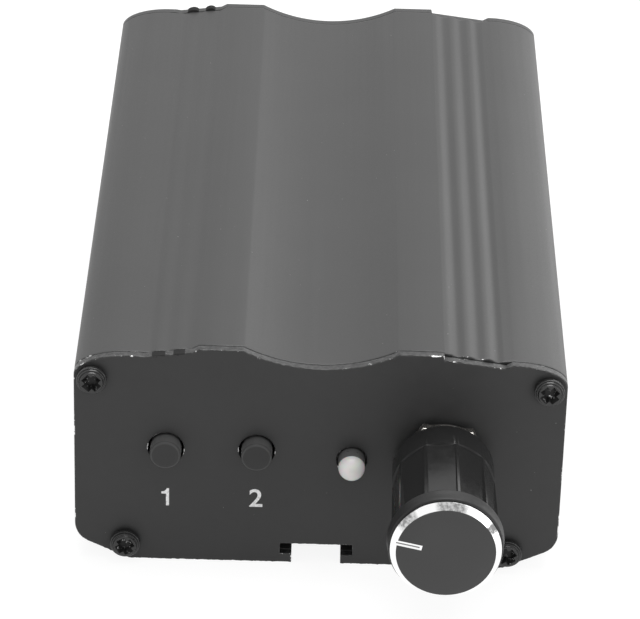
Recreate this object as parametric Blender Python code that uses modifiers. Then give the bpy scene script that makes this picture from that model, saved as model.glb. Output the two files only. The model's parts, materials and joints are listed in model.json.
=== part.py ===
# Desktop morse code keyer: an extruded aluminium case with a plate screwed on each end,
# two memory buttons, a lamp and a speed knob in front, and three sockets behind.
# Metres, +Z up, the front faces -Y. The origin is under the middle of the whole keyer.

import math

import bmesh
import bpy
from mathutils import Matrix, Vector

# Clearances
seat_gap = 0.00025
thread_gap = 0.0002
running_gap = 0.0003
cut_overrun = 0.001
weld_distance = 0.000001

# Case extrusion
case_width = 0.055
case_height = 0.0277
case_length = 0.090
case_wall = 0.0016
valley_half_width = 0.0087
valley_depth = 0.0021
plateau_width = 0.0049
ridge_drop = 0.0002
groove_depth = 0.00042
groove_count = 3
groove_width_share = 0.72
groove_shares = (-1, -0.6, -0.2, 0.2, 0.6, 1)
shoulder_flat = 0.003
shoulder_drop = 0.001
shoulder_step = 0.00015
shoulder_radius = 0.004
corner_radius = 0.00275
slant_angle = math.radians(25)
slant_width = 0.0061

# Slot along the bottom of the case
slot_opening = 0.0056
slot_lip_reach = 0.00133
slot_lip = 0.00115
slot_channel_height = 0.00135
slot_roof = 0.0015

# Plate screws
screw_shank_radius = 0.0009
screw_head_radius = 0.0017
screw_head_height = 0.001
screw_rim_height = 0.00045
screw_length = 0.006
screw_top_share = 0.72
recess_length = 0.0019
recess_width = 0.00055
recess_depth = 0.0007

# Screw channels in the case's corners
channel_wall = 0.00085
screw_edge_margin = 0.00008
screw_base_margin = 0.00063
upper_channel_angle = math.radians(28)
lower_channel_offset = 0.00037

# Grooves that hold the main board
rail_depth = 0.0019
rail_thickness = 0.001
rail_clearance = 0.00047

# End plates
plate_thickness = 0.001
plate_band_step = 0.00015
plate_band_rise = 0.0007

# Speed control
knob_place_share = 0.5073
knob_z = 0.0144
bushing_radius = 0.0035
bushing_wall = 0.0011
bushing_length = 0.0052
pot_width = 0.0098
pot_height = 0.011
pot_flange_thickness = 0.001
pot_body_depth = 0.0058
pot_wall = 0.0009
pot_pocket_depth = 0.0026
wiper_thickness = 0.0008
shaft_radius = 0.003
shaft_chamfer = 0.00045
shaft_shoulder_gap = 0.0004
shaft_end_gap = 0.00225
shaft_slot_width = 0.001
shaft_slot_depth = 0.006
washer_thickness = 0.0003
washer_rim = 0.0013
nut_wall = 0.0014
nut_thickness = 0.0011
terminal_count = 3
terminal_width = 0.0009
terminal_thickness = 0.0005
terminal_pitch = 0.0025
terminal_reach = 0.001
terminal_drop = 0.0042

# Knob
knob_gap = 0.0002
knob_length = 0.0163
knob_pocket_clearance = 0.0011
knob_pocket_gap = 0.00265
knob_wall = 0.0011
knob_skirt_length = 0.0036
knob_grip_rise = 0.0002
knob_collar_rise = 0.0005
knob_collar_length = 0.0026
knob_collar_round = 0.0003
knob_web = 0.00075
knob_shaft_gap = 0.00015
flute_count = 10
flute_depth = 0.00055
ridge_width = 0.00042
cap_inset = 0.00035
cap_rim = 0.00015
cap_bevel = 0.0006
cap_seat_gap = 0.00015
cap_pin_radius = 0.002
cap_pin_length = 0.0011
pointer_width = 0.00058
pointer_length = 0.00275
pointer_depth = 0.00015
pointer_angle = math.radians(77.5)

# Push buttons and their switches
button_place_shares = (-0.6255, -0.2535)
button_z = 0.0148
button_radius = 0.00175
button_clearance = 0.00035
button_proud = 0.00165
button_edge = 0.0002
button_travel = 0.00025
button_flange_width = 0.0004
button_flange_thickness = 0.0005
switch_wall = 0.0005
switch_floor = 0.0015
switch_cover_thickness = 0.0003
switch_gap = 0.00015
switch_dome_thickness = 0.0001
switch_dome_rise = 0.0003

# Lamp
lamp_place_share = 0.1356
lamp_z = 0.0139
lamp_radius = 0.0015
lamp_body_length = 0.0043
lamp_flange_rim = 0.0004
lamp_flange_thickness = 0.001
lead_radius = 0.00025
lead_pitch = 0.00254
lead_reach = 0.001

# Circuit boards
board_thickness = 0.0016
board_hole_gap = 0.00025
board_side_gap = 0.0004
board_top_gap = 0.0022
board_base_gap = 0.0012
board_spacing = 0.002
main_board_setback = 0.0006

# Link between the boards
header_pin_count = 4
header_pitch = 0.00254
header_pin_radius = 0.00032
header_block_depth = 0.0025
header_block_height = 0.0025
header_place_share = -0.4545
header_setback = 0.0012

# Parts on the main board
chip_share = 0.379
round_parts_share = 0.633
socket_length = 0.0178
socket_width = 0.0102
socket_height = 0.0042
socket_rim = 0.0027
chip_length = 0.0193
chip_width = 0.0064
chip_height = 0.0033
crystal_length = 0.0111
crystal_width = 0.0047
crystal_height = 0.0035
crystal_place_share = 0.4909
buzzer_radius = 0.006
buzzer_height = 0.0095
buzzer_hole_radius = 0.001
buzzer_hole_depth = 0.0015
buzzer_place_share = -0.5636
capacitor_radius = 0.00315
capacitor_height = 0.011
capacitor_groove = 0.0003
capacitor_groove_base = 0.0009
capacitor_place_share = 0.5273
transistor_radius = 0.0024
transistor_flat = 0.0014
transistor_height = 0.0046
regulator_spacing = 0.0067
transistor_spacing = 0.0063

# Sockets in the rear plate
jack_place_shares = (0.5636, 0.0545)
jack_width = 0.009
jack_height = 0.0105
jack_axis_height = 0.006
jack_bore_radius = 0.0018
jack_bore_depth = 0.0097
jack_floor = 0.0028
jack_bushing_wall = 0.0012
jack_bushing_reach = 0.003
jack_flange_rim = 0.0009
jack_flange_thickness = 0.0008
jack_nut_wall = 0.001
jack_nut_thickness = 0.0018
power_jack_place_share = -0.5636
power_jack_wall = 0.0015
power_jack_floor = 0.0033
power_axis_height = 0.0065
power_bore_radius = 0.003
power_bore_depth = 0.0095
power_pin_radius = 0.00105
power_pin_foot = 0.00055
power_pin_base_length = 0.0012
power_pin_inset = 0.0008

# Faceting of round shapes
fine_steps = 40
round_steps = 24
small_steps = 16
arc_steps = 8
smooth_angle = math.radians(32)

# Stations along the depth, from the front plate's face at zero
case_front = plate_thickness + seat_gap
case_back = case_front + case_length
rear_plate_front = case_back + seat_gap
rear_face = rear_plate_front + plate_thickness
pot_flange_front = plate_thickness + seat_gap
pot_housing_front = pot_flange_front + pot_flange_thickness + seat_gap
pot_housing_back = pot_housing_front + pot_body_depth
control_board_front = pot_housing_back + seat_gap
control_board_back = control_board_front + board_thickness
main_board_front = control_board_back + board_spacing
main_board_back = rear_plate_front - main_board_setback
main_board_length = main_board_back - main_board_front
chip_y = main_board_front + chip_share * main_board_length
round_parts_y = main_board_front + round_parts_share * main_board_length
header_y = main_board_front + header_setback + header_block_depth / 2

# Stations across the case's section
case_half = case_width / 2
wall_x = case_half - case_wall
plateau_edge = valley_half_width + plateau_width
shoulder_x = case_half - shoulder_radius
shoulder_top = case_height - shoulder_drop
shoulder_z = shoulder_top - shoulder_radius
band_edge = shoulder_x - shoulder_flat
band_width = band_edge - plateau_edge
valley_radius = (valley_half_width ** 2 + valley_depth ** 2) / (2 * valley_depth)
valley_centre = case_height - valley_depth + valley_radius
slant_foot = case_half - slant_width
button_places = tuple(share * case_half for share in button_place_shares)
knob_x = knob_place_share * case_half
lamp_x = lamp_place_share * case_half
header_x = header_place_share * case_half
crystal_x = crystal_place_share * case_half
buzzer_x = buzzer_place_share * case_half
capacitor_x = capacitor_place_share * case_half
transistor_x = capacitor_x - transistor_spacing
regulator_x = transistor_x - regulator_spacing
jack_places = tuple(share * case_half for share in jack_place_shares)
power_jack_x = power_jack_place_share * case_half
slot_half = slot_opening / 2 + slot_lip_reach
slot_depth = slot_lip + slot_channel_height

# Places of the case's screw channels
channel_bore = screw_shank_radius + thread_gap
channel_radius = channel_bore + channel_wall
upper_channel_reach = shoulder_radius - screw_head_radius - screw_edge_margin
upper_channel_x = shoulder_x + upper_channel_reach * math.cos(upper_channel_angle)
upper_channel_z = shoulder_z + upper_channel_reach * math.sin(upper_channel_angle)
lower_channel_x = slant_foot + lower_channel_offset
lower_channel_z = screw_head_radius + screw_base_margin
screw_places = {
    "upper_left": (-upper_channel_x, upper_channel_z),
    "upper_right": (upper_channel_x, upper_channel_z),
    "lower_left": (-lower_channel_x, lower_channel_z),
    "lower_right": (lower_channel_x, lower_channel_z),
}

# Heights of the boards and of what stands on them
rail_height = max(lower_channel_z + channel_radius, slot_depth + slot_roof) + rail_clearance
main_board_bottom = rail_height + seat_gap
main_board_top = main_board_bottom + board_thickness
part_base = main_board_top + seat_gap
control_board_base = slot_depth + slot_roof + board_base_gap
control_board_top = case_height - valley_depth - case_wall - board_top_gap
header_pin_z = part_base + header_block_height / 2
jack_z = part_base + jack_axis_height
power_z = part_base + power_axis_height

# The knob stands clear of its nut, and its cap of the knob
nut_front = seat_gap + washer_thickness + seat_gap + nut_thickness
bushing_front = bushing_length - pot_flange_front
knob_rear = nut_front + knob_gap
knob_face = knob_rear + knob_length
cap_front = knob_face + cap_seat_gap + cap_rim + cap_bevel
knob_pocket_radius = bushing_radius + knob_pocket_clearance
knob_pocket_end = bushing_front + knob_pocket_gap
knob_skirt_radius = knob_pocket_radius + knob_wall
knob_grip_radius = knob_skirt_radius + knob_grip_rise
knob_collar_radius = knob_grip_radius + knob_collar_rise
knob_bore_end = knob_face - cap_pin_length - cap_seat_gap - knob_web
cap_radius = knob_collar_radius - cap_inset

# The whole keyer is centred between the knob's face and the sockets' ends
rear_reach = rear_face + jack_bushing_reach
front_face_y = (cap_front - rear_reach) / 2


def clear_scene():
    """Remove whatever the scene holds."""
    for item in list(bpy.data.objects):
        bpy.data.objects.remove(item, do_unlink=True)


def make_collection(name):
    """Add a collection to the scene."""
    group = bpy.data.collections.new(name)
    bpy.context.scene.collection.children.link(group)
    return group


clear_scene()
part_collection = make_collection("morse_code_keyer")
cutter_collection = make_collection("cutters")

keyer_frame = bpy.data.objects.new("keyer_frame", None)
keyer_frame.location = (0, front_face_y, 0)
part_collection.objects.link(keyer_frame)

knob_axis = bpy.data.objects.new("knob_axis", None)
knob_axis.parent = keyer_frame
knob_axis.location = (knob_x, 0, knob_z)
part_collection.objects.link(knob_axis)


def make_material(name, colour, roughness, metallic):
    """One Principled material."""
    material = bpy.data.materials.new(name)
    material.use_nodes = True
    shader = material.node_tree.nodes["Principled BSDF"]
    shader.inputs["Base Color"].default_value = (*colour, 1)
    shader.inputs["Roughness"].default_value = roughness
    shader.inputs["Metallic"].default_value = metallic
    material.diffuse_color = (*colour, 1)
    return material


materials = {
    "case": make_material("case", (0.055, 0.055, 0.057), 0.5, 0.6),
    "plate": make_material("plate", (0.04, 0.04, 0.042), 0.45, 0.5),
    "black_steel": make_material("black_steel", (0.03, 0.03, 0.03), 0.3, 0.8),
    "black_plastic": make_material("black_plastic", (0.02, 0.02, 0.021), 0.3, 0),
    "button_plastic": make_material("button_plastic", (0.015, 0.015, 0.015), 0.25, 0),
    "bright_aluminium": make_material("bright_aluminium", (0.7, 0.7, 0.7), 0.25, 1),
    "nickel": make_material("nickel", (0.6, 0.58, 0.55), 0.3, 1),
    "brass": make_material("brass", (0.75, 0.55, 0.25), 0.35, 1),
    "milky_lens": make_material("milky_lens", (0.75, 0.75, 0.73), 0.3, 0),
    "board": make_material("board", (0.03, 0.16, 0.07), 0.45, 0),
    "pin_metal": make_material("pin_metal", (0.7, 0.6, 0.35), 0.3, 1),
    "chip_plastic": make_material("chip_plastic", (0.03, 0.03, 0.03), 0.6, 0),
    "can_metal": make_material("can_metal", (0.65, 0.65, 0.65), 0.3, 1),
    "capacitor_sleeve": make_material("capacitor_sleeve", (0.03, 0.05, 0.12), 0.4, 0),
}


def place(obj, material, location=(0, 0, 0), rotation=(0, 0, 0), parent=None):
    """Give an object its material, place and parent."""
    obj.data.materials.clear()
    obj.data.materials.append(materials[material])
    obj.parent = parent or keyer_frame
    obj.location = location
    obj.rotation_euler = rotation
    return obj


def new_object(name, mesh, collection=None):
    """Link a mesh as a named object."""
    obj = bpy.data.objects.new(name, mesh)
    (collection or part_collection).objects.link(obj)
    return obj


def evaluated_mesh(obj, name):
    """The object's mesh with its modifiers applied and its loose caps welded."""
    bpy.context.view_layer.update()
    graph = bpy.context.evaluated_depsgraph_get()
    mesh = bpy.data.meshes.new_from_object(obj.evaluated_get(graph), depsgraph=graph)
    mesh.name = name
    work = bmesh.new()
    work.from_mesh(mesh)
    bmesh.ops.remove_doubles(work, verts=work.verts, dist=weld_distance)
    bmesh.ops.recalc_face_normals(work, faces=work.faces)
    work.to_mesh(mesh)
    work.free()
    return mesh


def smooth(mesh):
    """Shade the round sides smooth and keep the edges sharp."""
    mesh.shade_smooth()
    mesh.set_sharp_from_angle(angle=smooth_angle)


def mesh_from_curve(name, curve):
    """A closed mesh from a curve's shape."""
    holder = new_object(name, curve)
    mesh = evaluated_mesh(holder, name)
    bpy.data.objects.remove(holder, do_unlink=True)
    return mesh


def outline_mesh(name, outlines, thickness):
    """A flat shape with holes, from closed outlines in X and Y, thick along Z from zero."""
    curve = bpy.data.curves.new(name, "CURVE")
    curve.dimensions = "2D"
    curve.fill_mode = "BOTH"
    curve.extrude = thickness / 2
    for points in outlines:
        spline = curve.splines.new("POLY")
        spline.points.add(len(points) - 1)
        for point, (x, y) in zip(spline.points, points):
            point.co = (x, y, 0, 1)
        spline.use_cyclic_u = True
    mesh = mesh_from_curve(name, curve)
    mesh.transform(Matrix.Translation((0, 0, thickness / 2)))
    return mesh


# A shape drawn in X and Y is stood up to face the front, thick towards the back
upright = Matrix.Rotation(math.radians(90), 4, "X") @ Matrix.Scale(-1, 4, (0, 0, 1))


def standing_outline(name, outlines, thickness, material, y, x=0, z=0):
    """A flat shape that stands upright, its front at y and its thickness towards the back."""
    mesh = outline_mesh(name, outlines, thickness)
    mesh.transform(upright)
    mesh.flip_normals()
    smooth(mesh)
    return place(new_object(name, mesh), material, (x, y, z))


def box_mesh(name, size, centre=(0, 0, 0)):
    """A box of a given size about a centre."""
    work = bmesh.new()
    scale = Matrix.Diagonal((*size, 1))
    bmesh.ops.create_cube(work, size=1, matrix=Matrix.Translation(centre) @ scale)
    mesh = bpy.data.meshes.new(name)
    work.to_mesh(mesh)
    work.free()
    return mesh


def box_between(name, low, high, material):
    """A box from its lowest to its highest corner."""
    low = Vector(low)
    high = Vector(high)
    mesh = box_mesh(name, high - low)
    return place(new_object(name, mesh), material, (low + high) / 2)


def turned_object(name, profile, steps, collection=None):
    """A turned solid about Z: the profile lists (radius, height) down the outer side.
    A profile that comes back up an inner side makes a ring."""
    mesh = bpy.data.meshes.new(name)
    work = bmesh.new()
    corners = [work.verts.new((radius, 0, height)) for radius, height in profile]
    for first, second in zip(corners, corners[1:]):
        work.edges.new((first, second))
    if profile[0][0] > 0:
        work.edges.new((corners[-1], corners[0]))
    work.to_mesh(mesh)
    work.free()
    obj = new_object(name, mesh, collection)
    screw = obj.modifiers.new("turn", "SCREW")
    screw.steps = steps
    screw.render_steps = steps
    screw.use_merge_vertices = True
    screw.merge_threshold = weld_distance
    screw.use_smooth_shade = False
    return obj


def settle(obj):
    """Turn an object's modifiers into its mesh, and shade it."""
    mesh = evaluated_mesh(obj, obj.name)
    obj.modifiers.clear()
    old = obj.data
    obj.data = mesh
    bpy.data.meshes.remove(old)
    smooth(mesh)
    return obj


def turned(name, profile, steps, material, location=(0, 0, 0), rotation=(0, 0, 0), parent=None):
    """A turned solid, settled and placed."""
    obj = settle(turned_object(name, profile, steps))
    return place(obj, material, location, rotation, parent)


# What is turned about Z is laid over to face the front or the back
face_front = (math.radians(90), 0, 0)
face_back = (math.radians(-90), 0, 0)


def hide_cutter(obj):
    """Keep a cutting solid out of the finished model."""
    obj.hide_render = True
    obj.display_type = "WIRE"
    return obj


def cutter(name, mesh):
    """A hidden solid that cuts others."""
    return hide_cutter(new_object(name, mesh, cutter_collection))


def turned_cutter(name, profile, steps, rotation=(0, 0, 0), location=(0, 0, 0)):
    """A hidden turned solid, for cutting or joining."""
    obj = settle(turned_object(name, profile, steps, cutter_collection))
    obj.rotation_euler = rotation
    obj.location = location
    return hide_cutter(obj)


def combine(obj, tool, operation):
    """Cut or join one object with another, while both still lie where they were drawn."""
    boolean = obj.modifiers.new(operation.lower(), "BOOLEAN")
    boolean.operation = operation
    boolean.solver = "EXACT"
    boolean.object = tool


def box_cutter_mesh(name, boxes):
    """Several separate boxes in one mesh: each has a size, a centre and a turn about Z."""
    work = bmesh.new()
    for size, centre, turn in boxes:
        matrix = Matrix.Rotation(turn, 4, "Z") @ Matrix.Translation(centre) @ Matrix.Diagonal((*size, 1))
        bmesh.ops.create_cube(work, size=1, matrix=matrix)
    mesh = bpy.data.meshes.new(name)
    work.to_mesh(mesh)
    work.free()
    return mesh


def round_hole_profile(radius, depth):
    """A straight round cutter from just above zero down to a depth."""
    return [(0, cut_overrun), (radius, cut_overrun), (radius, -depth), (0, -depth)]


def circle(x, y, radius, steps):
    """A closed round outline."""
    turn = 2 * math.pi / steps
    return [(x + radius * math.cos(i * turn), y + radius * math.sin(i * turn)) for i in range(steps)]


def arc(x, y, radius, start, end, steps):
    """Points along an arc, ends included."""
    turn = (end - start) / steps
    angles = [start + i * turn for i in range(steps + 1)]
    return [(x + radius * math.cos(angle), y + radius * math.sin(angle)) for angle in angles]


def rectangle(x, y, width, height):
    """A closed rectangular outline about a centre."""
    left = x - width / 2
    right = x + width / 2
    low = y - height / 2
    high = y + height / 2
    return [(left, low), (right, low), (right, high), (left, high)]


def mirrored(half):
    """Close a right half, which runs from the middle of the top to the middle of the bottom."""
    left = [(-x, z) for x, z in reversed(half) if x > weld_distance]
    return half + left


def band_height(x):
    """Height of the ridges, which fall from the plateau to the shoulder."""
    inner = case_height - ridge_drop
    outer = shoulder_top - shoulder_step
    return inner + (outer - inner) * (x - plateau_edge) / band_width


def valley_arc(radius):
    """The concave middle of the top, from the centre outwards."""
    reach = math.asin(valley_half_width / valley_radius)
    start = -math.pi / 2
    return arc(0, valley_centre, radius, start, start + reach, arc_steps)


def grooved_band():
    """Shallow round-bottomed grooves with narrow ridges between them."""
    points = []
    pitch = band_width / groove_count
    half_groove = pitch * groove_width_share / 2
    for index in range(groove_count):
        middle = plateau_edge + (index + 0.5) * pitch
        for share in groove_shares:
            x = middle + share * half_groove
            points.append((x, band_height(x) - groove_depth * (1 - share ** 4)))
    return points


def smooth_band():
    """The end plates' edge along the ribbed band, at the depth of the grooves."""
    inner = plateau_edge + plate_band_step
    return [
        (inner, band_height(inner) - groove_depth),
        (band_edge, band_height(band_edge) - groove_depth),
        (band_edge + plate_band_rise, shoulder_top),
    ]


def case_outline(band):
    """The outside of the case's section, with the slot in its bottom."""
    corner_end = slant_angle - math.pi / 2
    corner_x = case_half - corner_radius
    slant_top_x = corner_x + corner_radius * math.cos(corner_end)
    slant_top_z = (slant_top_x - slant_foot) * math.tan(slant_angle)
    corner_z = slant_top_z - corner_radius * math.sin(corner_end)
    half = valley_arc(valley_radius)
    half.append((plateau_edge, case_height))
    half += band
    half += arc(shoulder_x, shoulder_z, shoulder_radius, math.pi / 2, 0, arc_steps)
    half += arc(corner_x, corner_z, corner_radius, 0, corner_end, arc_steps)
    half += [
        (slant_foot, 0),
        (slot_opening / 2, 0),
        (slot_opening / 2, slot_lip),
        (slot_half, slot_lip),
        (slot_half, slot_depth),
    ]
    return mirrored(half)


def cavity_outline():
    """The inside of the case's section, round its screw channels and board grooves."""
    hump = slot_half + slot_roof
    rail_tip = wall_x - rail_depth
    groove_top = rail_height + board_thickness + 2 * seat_gap
    groove_floor_drop = ridge_drop + groove_depth + case_wall
    half = valley_arc(valley_radius + case_wall)
    half.append((plateau_edge, case_height - groove_floor_drop))
    half.append((band_edge, shoulder_top - groove_floor_drop))
    half += arc(
        upper_channel_x, upper_channel_z, channel_radius, 5 * math.pi / 6, 3 * math.pi / 2, arc_steps
    )
    half += [
        (wall_x, upper_channel_z - channel_radius),
        (wall_x, groove_top + rail_thickness),
        (rail_tip, groove_top + rail_thickness),
        (rail_tip, groove_top),
        (wall_x, groove_top),
        (wall_x, rail_height),
        (rail_tip, rail_height),
    ]
    half += arc(lower_channel_x, lower_channel_z, channel_radius, math.pi / 3, math.pi, arc_steps)
    half += [
        (lower_channel_x - channel_radius, case_wall),
        (hump, case_wall),
        (hump, slot_depth + slot_roof),
    ]
    return mirrored(half)


def build_case():
    """The extruded tube."""
    bores = [circle(x, z, channel_bore, small_steps) for x, z in screw_places.values()]
    outlines = [case_outline(grooved_band()), cavity_outline()] + bores
    standing_outline("case_extrusion", outlines, case_length, "case", case_front)


def build_plates():
    """The two end plates, with their holes."""
    plate = case_outline(smooth_band())
    screw_holes = [circle(x, z, channel_bore, small_steps) for x, z in screw_places.values()]
    front_holes = [circle(knob_x, knob_z, bushing_radius + thread_gap, round_steps)]
    front_holes.append(circle(lamp_x, lamp_z, lamp_radius + thread_gap, round_steps))
    for x in button_places:
        front_holes.append(circle(x, button_z, button_radius + button_clearance, round_steps))
    outlines = [plate] + front_holes + screw_holes
    standing_outline("front_plate", outlines, plate_thickness, "plate", 0)
    rear_holes = [circle(power_jack_x, power_z, power_bore_radius + running_gap, round_steps)]
    for x in jack_places:
        radius = jack_bore_radius + jack_bushing_wall + thread_gap
        rear_holes.append(circle(x, jack_z, radius, round_steps))
    outlines = [plate] + rear_holes + screw_holes
    standing_outline("rear_plate", outlines, plate_thickness, "plate", rear_plate_front)


def build_screws():
    """Eight cross-recess pan head screws, four in each plate."""
    profile = [
        (0, screw_head_height),
        (screw_head_radius * screw_top_share, screw_head_height),
        (screw_head_radius, screw_rim_height),
        (screw_head_radius, 0),
        (screw_shank_radius, 0),
        (screw_shank_radius, screw_shank_radius - screw_length),
        (0, -screw_length),
    ]
    pattern = turned_object("screw_pattern", profile, round_steps)
    depth = recess_depth + cut_overrun
    middle = (0, 0, screw_head_height - recess_depth + depth / 2)
    slots = (("recess_across", recess_length, recess_width), ("recess_along", recess_width, recess_length))
    for name, width, length in slots:
        combine(pattern, cutter(name, box_mesh(name, (width, length, depth), middle)), "DIFFERENCE")
    mesh = evaluated_mesh(pattern, "pan_head_screw")
    smooth(mesh)
    bpy.data.objects.remove(pattern, do_unlink=True)
    ends = (("front", -seat_gap, face_front), ("rear", rear_face + seat_gap, face_back))
    for end, y, rotation in ends:
        for corner, (x, z) in screw_places.items():
            screw = new_object(f"{end}_screw_{corner}", mesh)
            place(screw, "black_steel", (x, y, z), rotation)


def build_pot_bushing():
    """The control's mounting plate with its threaded tube, bored for the shaft."""
    size = (pot_width, pot_flange_thickness, pot_height)
    middle = (0, pot_flange_thickness / 2, 0)
    bushing = new_object("pot_bushing", box_mesh("pot_bushing", size, middle))
    root = -pot_flange_thickness / 2
    tube = [(0, bushing_length), (bushing_radius, bushing_length), (bushing_radius, root), (0, root)]
    combine(bushing, turned_cutter("bushing_tube", tube, round_steps, face_front), "UNION")
    top = bushing_length + cut_overrun
    base = -pot_flange_thickness - cut_overrun
    bore_radius = bushing_radius - bushing_wall
    bore = [(0, top), (bore_radius, top), (bore_radius, base), (0, base)]
    combine(bushing, turned_cutter("bushing_bore", bore, round_steps, face_front), "DIFFERENCE")
    settle(bushing)
    place(bushing, "nickel", (knob_x, pot_flange_front, knob_z))


def build_pot_inside():
    """The control's housing with its wiper, and the shaft that turns with the knob."""
    pocket_radius = pot_width / 2 - pot_wall
    size = (pot_width, pot_body_depth, pot_height)
    housing = new_object("pot_housing", box_mesh("pot_housing", size, (0, pot_body_depth / 2, 0)))
    pocket = round_hole_profile(pocket_radius, pot_pocket_depth)
    combine(housing, turned_cutter("pot_pocket", pocket, round_steps, face_front), "DIFFERENCE")
    settle(housing)
    place(housing, "black_plastic", (knob_x, pot_housing_front, knob_z))

    wiper_radius = pocket_radius - running_gap
    wiper_back = pot_housing_front + pot_pocket_depth - running_gap
    disc = [(0, wiper_thickness), (wiper_radius, wiper_thickness), (wiper_radius, 0), (0, 0)]
    turned("pot_wiper", disc, round_steps, "brass", (0, wiper_back, 0), face_front, knob_axis)

    neck_radius = bushing_radius - bushing_wall - running_gap
    shaft_back = wiper_back - wiper_thickness - seat_gap
    neck_front = bushing_front + shaft_shoulder_gap
    shaft_front = knob_bore_end - shaft_end_gap
    profile = [
        (0, shaft_front),
        (shaft_radius - shaft_chamfer, shaft_front),
        (shaft_radius, shaft_front - shaft_chamfer),
        (shaft_radius, neck_front),
        (neck_radius, neck_front),
        (neck_radius, -shaft_back),
        (0, -shaft_back),
    ]
    shaft = turned_object("pot_shaft", profile, round_steps)
    depth = shaft_slot_depth + cut_overrun
    size = (shaft_slot_width, 2 * shaft_radius + cut_overrun, depth)
    slot = box_mesh("shaft_slot", size, (0, 0, shaft_front - shaft_slot_depth + depth / 2))
    combine(shaft, cutter("shaft_slot", slot), "DIFFERENCE")
    settle(shaft)
    place(shaft, "can_metal", (0, 0, 0), face_front, knob_axis)


def build_pot_fixing():
    """The nut and washer in front of the plate, and the terminals in the control board."""
    hole = circle(0, 0, bushing_radius + thread_gap, round_steps)
    rim = circle(0, 0, bushing_radius + washer_rim, round_steps)
    washer_front = -seat_gap - washer_thickness
    place_x_z = {"x": knob_x, "z": knob_z}
    standing_outline("pot_washer", [rim, hole], washer_thickness, "nickel", washer_front, **place_x_z)
    corner_radius_of_nut = (bushing_radius + nut_wall) / math.cos(math.pi / 6)
    hexagon = circle(0, 0, corner_radius_of_nut, 6)
    standing_outline("pot_nut", [hexagon, hole], nut_thickness, "nickel", -nut_front, **place_x_z)
    half_width = terminal_width / 2
    half_thickness = terminal_thickness / 2
    z = knob_z - terminal_drop
    for index, x in enumerate(terminal_places()):
        low = (x - half_width, pot_housing_back + seat_gap, z - half_thickness)
        high = (x + half_width, control_board_back + terminal_reach, z + half_thickness)
        box_between(f"pot_terminal_{index + 1}", low, high, "pin_metal")


def spread(middle, count, pitch):
    """Evenly spaced places about a middle."""
    return [middle + (index - (count - 1) / 2) * pitch for index in range(count)]


def terminal_places():
    """Where the control's terminals stand across the control board."""
    return spread(knob_x, terminal_count, terminal_pitch)


def header_places():
    """Where the header's pins stand across the boards."""
    return spread(header_x, header_pin_count, header_pitch)


def lead_places():
    """Where the lamp's leads stand across the control board."""
    return spread(lamp_x, 2, lead_pitch)


def build_knob():
    """The fluted knob, hollow behind and open in front for its cap's pin."""
    skirt_end = knob_rear + knob_skirt_length
    collar_rear = knob_face - knob_collar_length
    grip_front = collar_rear - knob_collar_rise
    bore = shaft_radius + knob_shaft_gap
    pin_hole = cap_pin_radius + cap_seat_gap
    pin_floor = knob_face - cap_pin_length - cap_seat_gap
    profile = [
        (0, pin_floor),
        (pin_hole, pin_floor),
        (pin_hole, knob_face),
        (knob_collar_radius - knob_collar_round, knob_face),
        (knob_collar_radius, knob_face - knob_collar_round),
        (knob_collar_radius, collar_rear),
        (knob_grip_radius, grip_front),
        (knob_skirt_radius, skirt_end),
        (knob_skirt_radius, knob_rear),
        (knob_pocket_radius, knob_rear),
        (knob_pocket_radius, knob_pocket_end),
        (bore, knob_pocket_end),
        (bore, knob_bore_end),
        (0, knob_bore_end),
    ]
    knob = turned_object("knob_body", profile, fine_steps)
    apothem = knob_grip_radius - flute_depth
    flute_width = 2 * apothem * math.tan(math.pi / flute_count) - ridge_width
    size = (flute_width, knob_collar_radius, grip_front - skirt_end)
    centre = (0, apothem + knob_collar_radius / 2, (grip_front + skirt_end) / 2)
    turns = [pointer_angle + index * 2 * math.pi / flute_count for index in range(flute_count)]
    flutes = box_cutter_mesh("flutes", [(size, centre, turn) for turn in turns])
    combine(knob, cutter("flutes", flutes), "DIFFERENCE")
    settle(knob)
    place(knob, "black_plastic", (0, 0, 0), face_front, knob_axis)


def build_knob_cap():
    """The bevelled cap with its pointer groove, seated by a pin in the knob's face."""
    cap_rear = knob_face + cap_seat_gap
    pin_end = cap_rear - cap_pin_length
    face_radius = cap_radius - cap_bevel
    profile = [
        (0, cap_front),
        (face_radius, cap_front),
        (cap_radius, cap_front - cap_bevel),
        (cap_radius, cap_rear),
        (cap_pin_radius, cap_rear),
        (cap_pin_radius, pin_end),
        (0, pin_end),
    ]
    cap = turned_object("knob_cap", profile, fine_steps)
    depth = pointer_depth + cut_overrun
    length = pointer_length + cut_overrun
    centre = (0, face_radius + cut_overrun - length / 2, cap_front - pointer_depth + depth / 2)
    slot = box_cutter_mesh("pointer_slot", [((pointer_width, length, depth), centre, pointer_angle)])
    combine(cap, cutter("pointer_slot", slot), "DIFFERENCE")
    settle(cap)
    place(cap, "bright_aluminium", (0, 0, 0), face_front, knob_axis)


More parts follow.
